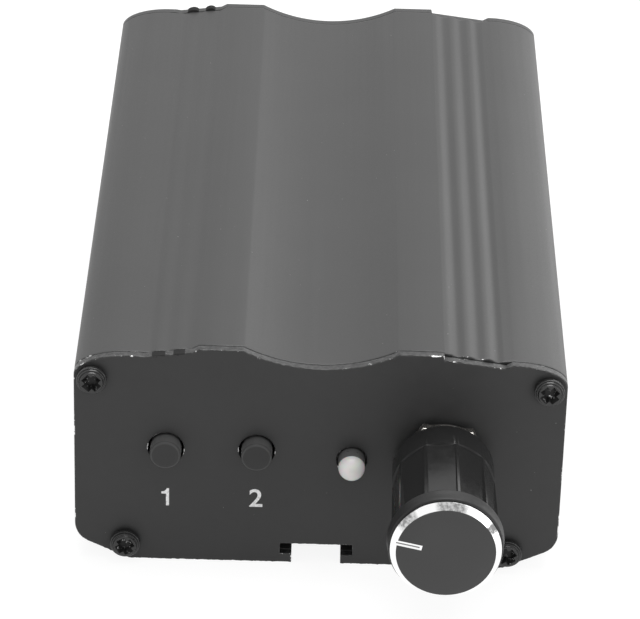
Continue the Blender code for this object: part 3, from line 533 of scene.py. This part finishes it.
def case_outline(band):
    """The outside of the case's section."""
    corner_end = slant_angle - math.pi / 2
    corner_x = case_half - corner_radius
    slant_top_x = corner_x + corner_radius * math.cos(corner_end)
    slant_top_z = (slant_top_x - slant_foot) * math.tan(slant_angle)
    corner_z = slant_top_z - corner_radius * math.sin(corner_end)
    halves = []
    for side in ("right", "left"):
        half = valley()
        half.append((plateau_edge, case_height))
        half += [point for point in band(side) if point[0] >= plateau_edge + plateau_slopes[side]]
        half += shoulder()
        half += arc(corner_x, corner_z, corner_radius, 0, corner_end, 16)
        half += [(slant_foot, 0), (slot_half_opening, 0), (slot_half_opening, slot_lip)]
        half += [(slot_half, slot_lip), (slot_half, slot_depth)]
        halves.append(half)
    return mirrored(*halves)


def cavity_outline():
    """The inside of the case's section."""
    hump_x = slot_half + slot_roof
    wall_x = case_half - case_wall
    rail_tip = wall_x - rail_depth
    groove_top = rail_height + board_slot
    drop = ridge_drop + groove_depths["right"] + case_wall
    upper_x, upper_z = upper_channel
    lower_x, lower_z = lower_channel
    half = valley(case_wall)
    half.append((plateau_edge, case_height - drop))
    half.append((band_edge, shoulder_top - drop))
    half += arc(upper_x, upper_z, channel_radius, 5 * math.pi / 6, 3 * math.pi / 2, 16)
    half += [(wall_x, upper_z - channel_radius), (wall_x, groove_top + rail_thickness)]
    half += [(rail_tip, groove_top + rail_thickness), (rail_tip, groove_top), (wall_x, groove_top)]
    half += [(wall_x, rail_height), (rail_tip, rail_height)]
    half += arc(lower_x, lower_z, channel_radius, math.pi / 3, math.pi, 16)
    half += [(lower_x - channel_radius, case_wall), (hump_x, case_wall), (hump_x, slot_depth + slot_roof)]
    return mirrored(half, half)


def screw_places():
    """The four corners' screws."""
    places = {}
    for level, (x, z) in (("upper", upper_channel), ("lower", lower_channel)):
        places[f"{level}_left"] = (-x, z)
        places[f"{level}_right"] = (x, z)
    return places


def screw_holes():
    """The round holes of the four corners' screws."""
    return [circle(x, z, channel_bore, 32) for x, z in screw_places().values()]


def signed_area(points):
    """Positive where the outline runs counter-clockwise."""
    pairs = zip(points, points[1:] + points[:1])
    return sum(a[0] * b[1] - b[0] * a[1] for a, b in pairs) / 2


def oriented(points, counter_clockwise):
    """The same outline, run the asked way round."""
    if (signed_area(points) > 0) == counter_clockwise:
        return points
    return points[::-1]


def densified(points, step):
    """Add points so that no side is longer than a step."""
    result = []
    for a, b in zip(points, points[1:] + points[:1]):
        count = max(1, math.ceil(math.dist(a, b) / step))
        for index in range(count):
            share = index / count
            result.append((a[0] + (b[0] - a[0]) * share, a[1] + (b[1] - a[1]) * share))
    return result


def inset(points, distance):
    """Move an outline into the material, which lies on its left."""
    result = []
    count = len(points)
    for index, point in enumerate(points):
        before = Vector(point) - Vector(points[index - 1])
        after = Vector(points[(index + 1) % count]) - Vector(point)
        before.normalize()
        after.normalize()
        left = Vector((-before.y - after.y, before.x + after.x))
        if left.length < 1e-6:
            result.append(point)
            continue
        left.normalize()
        stretch = max(0.5, left.dot(Vector((-after.y, after.x))))
        moved = Vector(point) + left * distance / stretch
        result.append((moved.x, moved.y))
    return result


# ---- meshes ----
sharp_angle = math.radians(35)


def finished(name, work, slots):
    """Link a bmesh as an object with its materials."""
    bmesh.ops.recalc_face_normals(work, faces=work.faces)
    mesh = bpy.data.meshes.new(name)
    work.to_mesh(mesh)
    work.free()
    for slot in slots:
        mesh.materials.append(materials[slot])
    return linked(name, mesh)


def rough_edge(x, z, amount):
    """A small fixed irregularity along a cut edge."""
    grain = 2600
    place = Vector((x * grain, z * grain, 0.5))
    return amount * (noise.noise(place) + 0.6 * noise.noise(place * 3.1))


def extruded(name, outlines, front, back, rounding, slots, chips=0.0):
    """A flat or long shape with holes and rounded front and back edges. An outline may come with
    a rounding of its own. Slots name the materials of its faces, its walls and its edges."""
    edge_steps = 3
    end_inset = 0.00008
    support = min(0.0003, (back - front) * 0.1)
    work = bmesh.new()
    end_rings = ([], [])
    for number, outline in enumerate(outlines):
        radius = rounding
        if isinstance(outline[1], float):
            outline, radius = outline
        outline = oriented(outline, number == 0)
        stations = [(front, radius + end_inset)]
        for step in range(edge_steps + 1):
            angle = math.pi / 2 * step / edge_steps
            stations.append((front + radius * (1 - math.cos(angle)), radius * (1 - math.sin(angle))))
        stations.append((stations[-1][0] + support, 0.0))
        stations += [(front + back - y, depth) for y, depth in reversed(stations)]
        rings = []
        for station, (y, depth) in enumerate(stations):
            ring = []
            is_cut = number == 0 and chips and 0 < station <= edge_steps
            for x, z in inset(outline, depth):
                bite = rough_edge(x, z, chips) if is_cut else 0.0
                ring.append(work.verts.new((x, y + bite, z)))
            rings.append(ring)
        last = len(rings) - 2
        for station, (ring, following) in enumerate(zip(rings, rings[1:])):
            slot = 2
            if station in (0, last):
                slot = 0
            elif edge_steps < station < last - edge_steps:
                slot = 1
            for index in range(len(ring)):
                after = (index + 1) % len(ring)
                face = work.faces.new((ring[index], following[index], following[after], ring[after]))
                face.material_index = slot
                face.smooth = True
        end_rings[0].append(rings[0])
        end_rings[1].append(rings[-1])
    sides = len(work.faces)
    for end in end_rings:
        flat = [vert for ring in end for vert in ring]
        shape = [[Vector((vert.co.x, vert.co.z, 0)) for vert in ring] for ring in end]
        for corners in tessellate_polygon(shape):
            if len(set(corners)) == 3:
                work.faces.new([flat[corner] for corner in corners])
    obj = finished(name, work, slots)
    obj.data.set_sharp_from_angle(angle=math.radians(40))
    for face in obj.data.polygons[sides:]:
        face.use_smooth = False
    return obj


def even_angles(count):
    """Angles all round, the same step apart."""
    return [2 * math.pi * index / count for index in range(count)]


def revolved(name, profile, place, facing, slots, angles, shape=None):
    """A turned solid. The profile lists (radius, reach, slot index) from its tip to its root;
    reach counts from the place towards facing. Shape may change the radius with the angle."""
    x, y, z = place
    work = bmesh.new()
    rings = []
    for radius, reach, *_ in profile:
        level = y + facing * reach
        if radius < on_axis:
            rings.append([work.verts.new((x, level, z))])
            continue
        ring = []
        for angle in angles:
            local = shape(radius, reach, angle) if shape else radius
            ring.append(work.verts.new((x + local * math.cos(angle), level, z + local * math.sin(angle))))
        rings.append(ring)
    pairs = list(zip(rings, rings[1:], profile))
    if profile[0][0] >= on_axis:
        pairs.append((rings[-1], rings[0], profile[-1]))
    count = len(angles)
    for ring, following, station in pairs:
        for index in range(count):
            after = (index + 1) % count
            if len(ring) == 1:
                corners = (ring[0], following[index], following[after])
            elif len(following) == 1:
                corners = (ring[index], following[0], ring[after])
            else:
                corners = (ring[index], following[index], following[after], ring[after])
            face = work.faces.new(corners)
            face.material_index = station[2] if len(station) > 2 else 0
            face.smooth = True
    obj = finished(name, work, slots)
    obj.data.set_sharp_from_angle(angle=sharp_angle)
    return obj


def bridged(work, first, second):
    """Close two rings of vertices and join them, with the second material."""
    faces = [work.faces.new(first), work.faces.new(second[::-1])]
    for index in range(len(first)):
        after = (index + 1) % len(first)
        faces.append(work.faces.new((first[index], second[index], second[after], first[after])))
    for face in faces:
        face.material_index = 1
    return faces


def stand_for(obj, body, node):
    """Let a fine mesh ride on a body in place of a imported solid."""
    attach(obj, body)
    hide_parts(node)


# ---- case and plates ----
def build_case():
    """The extrusion, with its inside and its screw channels."""
    outlines = [case_outline(grooved_band), cavity_outline()] + screw_holes()
    case = extruded("case_tube", outlines, case_front, case_back, 0.00012, ("case", "case", "worn_edge"))
    stand_for(case, "case", "case_extrusion")


def build_plates():
    """The two end plates."""
    holes = [circle(knob_x, knob_z, bushing_hole_radius), circle(lamp_x, lamp_z, lamp_hole_radius)]
    holes += [(circle(x, button_z, button_hole_radius), button_hole_chamfer) for x in button_places]
    outlines = [plate_outline("front")] + holes + screw_holes()
    back = plate_front + plate_thickness
    slots = ("plate", "cut_edge", "chipped_edge")
    front_plate = extruded("front_panel", outlines, plate_front, back, 0.0001, slots, 0.00009)
    paint_hole_glints(front_plate)
    paint_bump_shade(front_plate)
    stand_for(front_plate, "case", "front_plate")
    holes = [circle(power_jack_x, power_z, power_hole_radius)]
    holes += [circle(x, jack_z, jack_hole_radius) for x in jack_places.values()]
    outlines = [plate_outline("rear")] + holes + screw_holes()
    slots = ("plate", "case", "case")
    rear_plate = extruded("rear_panel", outlines, rear_plate_front, rear_face, 0.00006, slots)
    paint_bump_shade(rear_plate)
    stand_for(rear_plate, "case", "rear_plate")


def plate_outline(end):
    """The outside of an end plate."""
    outline = case_outline(lambda side: smooth_band(side, bump_heights[end]))
    return densified(outline, plate_outline_step)


def added_slot(obj, material):
    """Add a material to an object and tell its slot."""
    obj.data.materials.append(materials[material])
    return len(obj.data.materials) - 1


def paint_bump_shade(plate):
    """The bumps of a plate's edge beside the left plateau, given a near black matte copy of the plate's
    finish as painted shade.
    """
    slot = added_slot(plate, "bump_painted_shade")
    lowest = shoulder_top - 0.001
    least_upward = 0.2
    for face in plate.data.polygons:
        middle = face.center
        if middle.z < lowest or face.normal.z < least_upward:
            continue
        if any(abs(-middle.x - plateau_edge - place) < reach for place, reach in rim_bumps):
            face.material_index = slot


def paint_hole_glints(plate):
    """Short stretches of the buttons' hole edges, painted pale as painted glints."""
    slot = added_slot(plate, "painted_glint_edge")
    for face in plate.data.polygons:
        middle = face.center
        if face.material_index != 2 or middle.y > plate_front + plate_thickness / 2:
            continue
        for x, stretches in zip(button_places, glint_stretches):
            away_x, away_z = middle.x - x, middle.z - button_z
            if math.hypot(away_x, away_z) > button_hole_radius + button_hole_chamfer:
                continue
            angle = math.degrees(math.atan2(away_z, away_x))
            turned = angle + 360 if angle < -90 else angle
            if any(low <= turned <= high for low, high in stretches):
                face.material_index = slot


# ---- screws ----
screw_head_radius = 0.0017
screw_head_height = 0.001
screw_rim_height = 0.00045
screw_shank_radius = 0.0009
screw_length = 0.006
screw_pitch = 0.0005
screw_turns = {"upper_left": 48, "upper_right": 42, "lower_left": 30, "lower_right": 35}
rear_screw_turn = 31


def recess_cutter():
    """A cross of four tapering wings."""
    work = bmesh.new()
    rings = []
    top, bottom = (0.00116, 0.00058, 0.0012), (0.0006, 0.0003, 0.00025)
    for reach, half_width, z in (top, bottom):
        ring = []
        for quarter in range(4):
            rotate = Matrix.Rotation(math.pi / 2 * quarter, 3, "Z")
            for x, y in ((half_width, -half_width), (reach, -half_width), (reach, half_width)):
                ring.append(work.verts.new(rotate @ Vector((x, y, z))))
        rings.append(ring)
    bridged(work, *rings)
    return finished("recess", work, ("screw", "recess"))


def screw_mesh():
    """A pan head screw along +Z, its head's seat at zero."""
    top_radius, crown, step_round, rim_round = 0.00122, 0.00002, 0.00006, 0.00012
    profile = [(0.0, screw_head_height)]
    profile += [(top_radius * share, screw_head_height - crown * share ** 2) for share in (0.3, 0.6, 0.9)]
    profile += arc(top_radius, screw_head_height - 0.00008, step_round, math.pi / 2, math.pi / 8)
    profile += [(top_radius + 0.0001, 0.00078), (top_radius + 0.00014, 0.00074)]
    profile += arc(top_radius + 0.00024, 0.00071, step_round, math.pi / 2, math.pi / 8)
    profile += [(screw_head_radius - 0.00014, screw_rim_height + 0.0001)]
    profile += arc(screw_head_radius - rim_round, screw_rim_height, rim_round, math.pi / 3, 0)
    profile += [(screw_head_radius, 0.00005), (screw_head_radius - 0.00005, 0), (screw_shank_radius, 0)]
    for index in range(int((screw_length - 0.001) / screw_pitch)):
        level = -0.0004 - index * screw_pitch
        profile += [(screw_shank_radius - 0.00015, level), (screw_shank_radius, level - screw_pitch / 2)]
    profile += [(screw_shank_radius / 2, -screw_length + 0.0001), (0.0, -screw_length)]
    screw = revolved("screw", profile, (0, 0, 0), -1, ("screw", "recess"), even_angles(64))
    screw.data.transform(Matrix.Rotation(math.radians(-90), 4, "X"))
    mesh = cut_with(screw, recess_cutter())
    bpy.data.objects.remove(screw, do_unlink=True)
    mesh.set_sharp_from_angle(angle=sharp_angle)
    return mesh


def evaluated_mesh(obj):
    """An object's mesh as it is seen."""
    bpy.context.view_layer.update()
    graph = bpy.context.evaluated_depsgraph_get()
    return bpy.data.meshes.new_from_object(obj.evaluated_get(graph), depsgraph=graph)


def cut_with(obj, cutter):
    """An object's mesh with a cutter taken out of it. The cutter is used up."""
    cut = obj.modifiers.new("cut", "BOOLEAN")
    cut.operation = "DIFFERENCE"
    cut.solver = "EXACT"
    cut.object = cutter
    mesh = evaluated_mesh(obj)
    bpy.data.objects.remove(cutter, do_unlink=True)
    return mesh


def build_screws():
    """All eight plate screws, each stopped at its own turn."""
    pattern = screw_mesh()
    ends = (("front", plate_front - seat_gap, 90, 0), ("rear", rear_face + seat_gap, -90, rear_screw_turn))
    for end, y, tilt, end_turn in ends:
        for corner, (x, z) in screw_places().items():
            mesh = pattern.copy()
            turn = Matrix.Rotation(math.radians(screw_turns[corner] + end_turn), 4, "Z")
            face = Matrix.Rotation(math.radians(tilt), 4, "X")
            mesh.transform(Matrix.Translation((x, y, z)) @ face @ turn)
            screw = linked(f"{end}_pan_head_{corner}", mesh)
            stand_for(screw, "case", f"{end}_screw_{corner}")
    bpy.data.meshes.remove(pattern)


# ---- buttons and lamp ----
def build_buttons():
    """The stems of the two push buttons."""
    low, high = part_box("button_1")
    tip = high.y - low.y
    edge = 0.0003
    rise = 0.00008
    lip = 0.0005
    flange_radius = button_radius + 0.0004
    # The face keeps the plastic's own tone; the corner and the side get lighter copies, painted light on the
    # shaded stem.
    slots = ("button", "button_corner_painted_light", "button_stem")
    angles = even_angles(64)
    for name, x in zip(("button_1", "button_2"), button_places):
        profile = [(0.0, tip, 0)]
        for share in (0.2, 0.4, 0.6, 0.8):
            profile.append((share * (button_radius - edge), tip - rise * share ** 2, 0))
        corner = arc(button_radius - edge, tip - rise - edge, edge, math.radians(80), 0, 6)
        profile += [(*point, 1) for point in corner[:-1]] + [(*corner[-1], 2)]
        profile += [(button_radius, lip, 2), (flange_radius, lip, 2), (flange_radius, 0.0, 2), (0.0, 0.0, 2)]
        place = (x, high.y, button_z)
        stem = revolved(name.replace("button", "button_stem"), profile, place, -1, slots, angles)
        stand_for(stem, name, name)


def build_lamp():
    """The milky lamp with its round nose and its flange."""
    low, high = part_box("led_lamp")
    flange = 0.001
    flange_radius = lamp_radius + 0.0004
    root = high.y - flange
    tip = root - low.y
    nose = arc(0, tip - lamp_radius, lamp_radius, math.pi / 2, 0, 16)
    # Behind the nose the lamp takes the grey of a painted shade.
    profile = [(0.0, tip)] + nose[1:-1] + [(*nose[-1], 1)]
    profile += [(lamp_radius, 0.0, 1), (flange_radius, 0.0, 1)]
    profile += [(flange_radius, -flange, 1), (0.0, -flange, 1)]
    place = (lamp_x, root, lamp_z)
    lamp = revolved("lamp_lens", profile, place, -1, ("lens", "lens_root_painted_shade"), even_angles(64))
    stand_for(lamp, "case", "led_lamp")


# ---- knob ----
knob_rear = 0.0021
knob_face = 0.0184
knob_skirt_end = knob_rear + 0.0036
ramp_end = knob_face - 0.0018
ramp_start = ramp_end - 0.0003
skirt_radius = 0.0057
grip_radius = 0.0059
collar_radius = 0.0064
collar_front_radius = 0.00627
flute_count = 10
flute_depth = 0.00055
flute_rear_depth = 0.00025
flute_slope = 0.03
flute_fade = 0.00007
ridge_width = 0.00042
flute_sector = 2 * math.pi / flute_count
flute_edge = math.atan(math.tan(flute_sector / 2) - ridge_width / (2 * (grip_radius - flute_depth)))
pocket_radius = 0.0046
pocket_wall = 0.0003
pocket_end = 0.0066
bore_radius = 0.00315
bore_end = 0.0164
pin_hole_radius = 0.00215
pin_floor = 0.01715
cap_rear = knob_face + 0.00015
cap_radius = 0.00605
cap_bevel = 0.0006
cap_front = knob_face + 0.0009
cap_pin_radius = 0.002
cap_pin_rear = cap_rear - 0.0011
pointer_angle = math.radians(167.5)


def knob_angles():
    """Angles that fall on the flutes' edges."""
    beside = flute_edge + 0.012
    offsets = [flute_edge * (step / 6) for step in range(-6, 7)]
    offsets += [beside, flute_sector / 2, flute_sector - beside]
    middles = [pointer_angle + index * flute_sector for index in range(flute_count)]
    return [middle + offset for middle in middles for offset in offsets]


def fluted(radius, reach, angle):
    """The knob's radius at an angle: flat flutes between narrow ridges, ramped at the front."""
    if radius < pocket_radius + pocket_wall or reach < knob_skirt_end or reach > ramp_end:
        return radius
    off = (angle - pointer_angle + flute_sector / 2) % flute_sector - flute_sector / 2
    if abs(off) > flute_edge + 0.001:
        return radius
    behind = reach - knob_skirt_end
    apothem = skirt_radius - flute_rear_depth - flute_slope * behind
    fade = min(1.0, behind / flute_fade, (ramp_end - reach) / (ramp_end - ramp_start))
    flat = min(radius, apothem / math.cos(off))
    return radius + (flat - radius) * fade


def build_grip(place):
    """The knob's body, from its front to its rear."""
    front_round, collar_round, skirt_round = 0.0003, 0.00008, 0.0002
    collar_taper = 0.00135
    radius = collar_front_radius - front_round
    edge = arc(radius, knob_face - front_round, front_round, math.pi / 2, 0.1, 5)
    profile = [(0.0, pin_floor), (pin_hole_radius, pin_floor), (pin_hole_radius, knob_face)]
    profile += [(*point, 1) for point in edge]
    for share in (0.25, 0.5, 0.75, 1.0):
        swell = collar_front_radius + (collar_radius - collar_front_radius) * share ** 3
        profile.append((swell, knob_face - front_round - share * collar_taper, 1))
    radius = collar_radius - collar_round
    profile += arc(radius, ramp_end + 0.0001, collar_round, 0.1, -math.pi / 2)
    profile.append((grip_radius, ramp_end))
    slope = (grip_radius - skirt_radius) / (ramp_end - knob_skirt_end)
    levels = [ramp_end + (ramp_start - ramp_end) * step / 3 for step in range(1, 4)]
    levels += [ramp_start - behind for behind in (0.0001, 0.002, 0.005, 0.008)]
    levels += [knob_skirt_end + ahead for ahead in (0.0005, 0.0003, 0.00015)]
    profile += [(skirt_radius + slope * (level - knob_skirt_end), level) for level in levels]
    profile.append((skirt_radius + slope * flute_fade, knob_skirt_end + flute_fade, 1))
    profile.append((skirt_radius, knob_skirt_end))
    radius = skirt_radius - skirt_round
    profile += arc(radius, knob_rear + skirt_round, skirt_round, 0, -math.pi / 2)
    profile += [(pocket_radius, knob_rear), (pocket_radius, pocket_end)]
    profile += [(bore_radius, pocket_end), (bore_radius, bore_end), (0.0, bore_end)]
    knob = revolved("knob_grip", profile, place, -1, ("knob", "collar"), knob_angles(), fluted)
    stand_for(knob, "knob", "knob_body")


def build_cap(place):
    """The knob's cap with its bright bevel and its pointer."""
    face_radius = cap_radius - cap_bevel
    bevel_rear = cap_front - cap_bevel
    profile = [(0.0, cap_front, 0), (face_radius * 0.5, cap_front, 0), (face_radius - 0.00003, cap_front, 1)]
    profile += [(face_radius, cap_front - 0.00001, 1), (cap_radius - 0.00004, bevel_rear + 0.00004, 1)]
    profile += [(cap_radius, bevel_rear, 1), (cap_radius, cap_rear, 1)]
    profile += [(cap_pin_radius, cap_rear, 1), (cap_pin_radius, cap_pin_rear, 1), (0.0, cap_pin_rear, 1)]
    slots = ("cap_face", "bevel", "pointer")
    cap = revolved("knob_cap_disc", profile, place, -1, slots, even_angles(128))
    cap.data = cut_with(cap, pointer_cutter(face_radius))
    cap.modifiers.clear()
    stand_for(cap, "knob", "knob_cap")


def pointer_cutter(face_radius):
    """A short trough with sloping walls, from the bevel inwards."""
    half_top, half_floor, floor_shift = 0.0003, 0.00008, 0.00007
    depth, length, above, past_edge, end_slope = 0.00009, 0.0028, 0.0001, 0.0003, 0.00025
    grow = (half_top - half_floor) * above / depth
    outer = face_radius + past_edge
    inner = face_radius - length
    floor_start = inner + end_slope
    work = bmesh.new()
    section = [
        (-half_top - grow, cap_front + above, inner - grow),
        (half_top + grow, cap_front + above, inner - grow),
        (floor_shift + half_floor, cap_front - depth, floor_start),
        (floor_shift - half_floor, cap_front - depth, floor_start),
    ]
    along = Vector((math.cos(pointer_angle), 0, math.sin(pointer_angle)))
    across = Vector((-along.z, 0, along.x))
    middle = Vector((knob_x, plate_front, knob_z))
    rings = []
    for end in (None, outer):
        rings.append([
            work.verts.new(middle + along * (end or start) + across * side + Vector((0, -level, 0)))
            for side, level, start in section
        ])
    trough_floor = bridged(work, *rings)[4]
    trough_floor.material_index = 2
    return finished("pointer_cut", work, ("cap_face", "bevel", "pointer"))


# ---- fixings in front ----
def build_nut_and_washer():
    """The control's hexagon nut and washer behind the knob."""
    hole = circle(knob_x, knob_z, bushing_hole_radius)
    low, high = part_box("pot_washer")
    rim = circle(knob_x, knob_z, (high.x - low.x) / 2)
    # The washer gets a far darker metal than the nut.
    washer = extruded("control_washer", [rim, hole], low.y, high.y, 0.00006, ("dark_washer_metal",) * 3)
    stand_for(washer, "case", "pot_washer")
    low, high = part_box("pot_nut")
    corner = (high.x - low.x) / 2
    turn = math.radians(-4.5)
    hexagon = densified(arc(knob_x, knob_z, corner, turn, turn + 2 * math.pi, 6)[:-1], 0.0008)
    nut = extruded("control_nut", [hexagon, hole], low.y, high.y, 0.00015, ("nickel",) * 3)
    stand_for(nut, "case", "pot_nut")


print_depth = 0.00001
label_z = 0.0084


def label_two(height):
    """The number two, from the built-in font."""
    height_share, boldness = 0.7, 0.00004
    data = bpy.data.curves.new("two", "FONT")
    data.body = "2"
    data.size = height / height_share
    data.align_x = "CENTER"
    data.align_y = "CENTER"
    data.extrude = print_depth
    data.offset = boldness
    holder = linked("two", data)
    mesh = evaluated_mesh(holder)
    bpy.data.objects.remove(holder, do_unlink=True)
    mesh.transform(Matrix.Rotation(math.radians(90), 4, "X"))
    mesh.materials.clear()
    mesh.materials.append(materials["print"])
    return linked("label_2", mesh)


def build_labels():
    """Plain numbers under the buttons. The one's points are shares of its height."""
    height = 0.0023
    one = [(0.27, 0), (0.42, 0), (0.42, 1), (0.31, 1), (0.27, 0.91)]
    one += [(0.18, 0.83), (0.04, 0.79), (0.04, 0.68), (0.27, 0.68)]
    outline = [((x - 0.25) * height, (z - 0.5) * height) for x, z in one]
    first = extruded("label_1", [outline], -print_depth, print_depth, 0.000004, ("print",) * 3)
    for label, x in zip((first, label_two(height)), button_places):
        label.data.transform(Matrix.Translation((x, plate_front - print_depth, label_z)))
        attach(label, "case")


# ---- rear sockets ----
def build_jacks():
    """The threaded bushings and ring nuts of the 3.5 mm sockets, and the supply socket's pin."""
    flange, chamfer, pitch, thread_depth = 0.0008, 0.0002, 0.0004, 0.00012
    flange_radius = jack_bushing_radius + 0.0009
    for name, x in jack_places.items():
        low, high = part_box(f"{name}_bushing")
        tip = high.y - low.y
        level = tip - chamfer
        profile = [(jack_bore, level), (jack_bore + chamfer, tip), (jack_bushing_radius - chamfer, tip)]
        while level > flange + pitch:
            profile += [(jack_bushing_radius, level), (jack_bushing_radius - thread_depth, level - pitch / 2)]
            level -= pitch
        profile += [(jack_bushing_radius, flange), (flange_radius, flange)]
        profile += [(flange_radius, 0.0), (jack_bore, 0.0)]
        place = (x, low.y, jack_z)
        bushing = revolved(f"{name}_thread", profile, place, 1, ("nickel",), even_angles(64))
        stand_for(bushing, "case", f"{name}_bushing")

        low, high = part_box(f"{name}_nut")
        thick = high.y - low.y
        outer = (high.x - low.x) / 2
        hole, bevel, rim = jack_hole_radius, 0.0001, 0.00025
        profile = [(hole + bevel, thick), (outer - rim, thick), (outer, thick - rim), (outer, rim)]
        profile += [(outer - rim, 0.0), (hole + bevel, 0.0), (hole, bevel), (hole, thick - bevel)]
        place = (x, low.y, jack_z)
        nut = revolved(f"{name}_ring_nut", profile, place, 1, ("nickel",), even_angles(192), knurled)
        stand_for(nut, "case", f"{name}_nut")

    low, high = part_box("power_jack_pin")
    tip = high.y - low.y
    pin, nose, foot, foot_radius = 0.00105, 0.0005, 0.0011, 0.0016
    profile = [(0.0, tip)] + arc(pin - nose, tip - nose, nose, math.pi / 2, 0, 6)
    profile += [(pin, foot), (foot_radius, foot), (foot_radius, 0.0), (0.0, 0.0)]
    place = (power_jack_x, low.y, power_z)
    peg = revolved("supply_pin", profile, place, 1, ("nickel",), even_angles(48))
    stand_for(peg, "case", "power_jack_pin")


def knurled(radius, reach, angle):
    """Fine teeth round a ring nut's rim."""
    teeth, tooth_depth, teeth_start = 48, 0.00006, 0.0036
    if radius < teeth_start:
        return radius
    return radius - tooth_depth * (0.5 + 0.5 * math.cos(teeth * angle))


# ---- surroundings ----
def one_for_rays(tree, first, *others):
    """One for the named kinds of rays, and zero for the rest."""
    path = wired(tree, "ShaderNodeLightPath").outputs
    seen = path[f"Is {first} Ray"]
    for kind in others:
        inputs = {0: seen, 1: path[f"Is {kind} Ray"]}
        seen = wired(tree, "ShaderNodeMath", inputs, operation="MAXIMUM").outputs[0]
    return seen


def floor_material():
    """White, and partly glowing where it is seen or mirrored."""
    material = bpy.data.materials.new("floor")
    material.use_nodes = True
    tree = material.node_tree
    tree.nodes.clear()
    diffuse = wired(tree, "ShaderNodeBsdfDiffuse", {"Color": (0.86, 0.86, 0.86, 1)}).outputs[0]
    glow = wired(tree, "ShaderNodeEmission", {"Strength": 1.12}).outputs[0]
    inputs = {0: one_for_rays(tree, "Camera", "Glossy"), 1: 0.8}
    share = wired(tree, "ShaderNodeMath", inputs, operation="MULTIPLY").outputs[0]
    mixed = wired(tree, "ShaderNodeMixShader", {0: share, 1: diffuse, 2: glow}).outputs[0]
    wired(tree, "ShaderNodeOutputMaterial", {"Surface": mixed})
    return material


def build_stage():
    """A white floor, white surroundings and soft studio light."""
    data = bpy.data.meshes.new("floor")
    side, level = 3, -0.00002
    corners = [(-side, -side, level), (side, -side, level), (side, side, level), (-side, side, level)]
    data.from_pydata(corners, [], [(0, 1, 2, 3)])
    data.materials.append(floor_material())
    linked("floor", data)

    world = bpy.data.worlds.new("studio")
    bpy.context.scene.world = world
    world.use_nodes = True
    tree = world.node_tree
    background = tree.nodes["Background"]
    background.inputs["Color"].default_value = (1, 1, 1, 1)
    seen = one_for_rays(tree, "Camera", "Glossy", "Transmission")
    strength = wired(tree, "ShaderNodeMapRange", {"Value": seen, "To Min": 0.62, "To Max": 1})
    tree.links.new(strength.outputs[0], background.inputs["Strength"])

    add_lamp("key", (0.05, 0.15, 0.7), (0, 0, 0), 0.5, 4.05)
    add_lamp("right", (0.09, 0.115, 0.08), (0.0, 0.1, 0.03), 0.16, 0.078)
    add_lamp("front_right", (0.08, -0.09, 0.03), (0.02, -0.038, 0.014), 0.06, 0.02)


def add_lamp(name, place, target, size, power):
    """A square soft box that points at a target."""
    data = bpy.data.lights.new(name, "AREA")
    data.size = size
    data.energy = power
    lamp = linked(name, data)
    lamp.location = place
    lamp.visible_camera = False
    lamp.rotation_euler = (Vector(place) - Vector(target)).to_track_quat("Z", "Y").to_euler()


build_camera()
finish_inner_nodes()
build_case()
build_plates()
build_screws()
build_buttons()
build_lamp()
knob_place = (knob_x, plate_front, knob_z)
build_grip(knob_place)
build_cap(knob_place)
build_nut_and_washer()
build_labels()
build_jacks()
build_stage()
bpy.context.scene.view_settings.view_transform = "Standard"
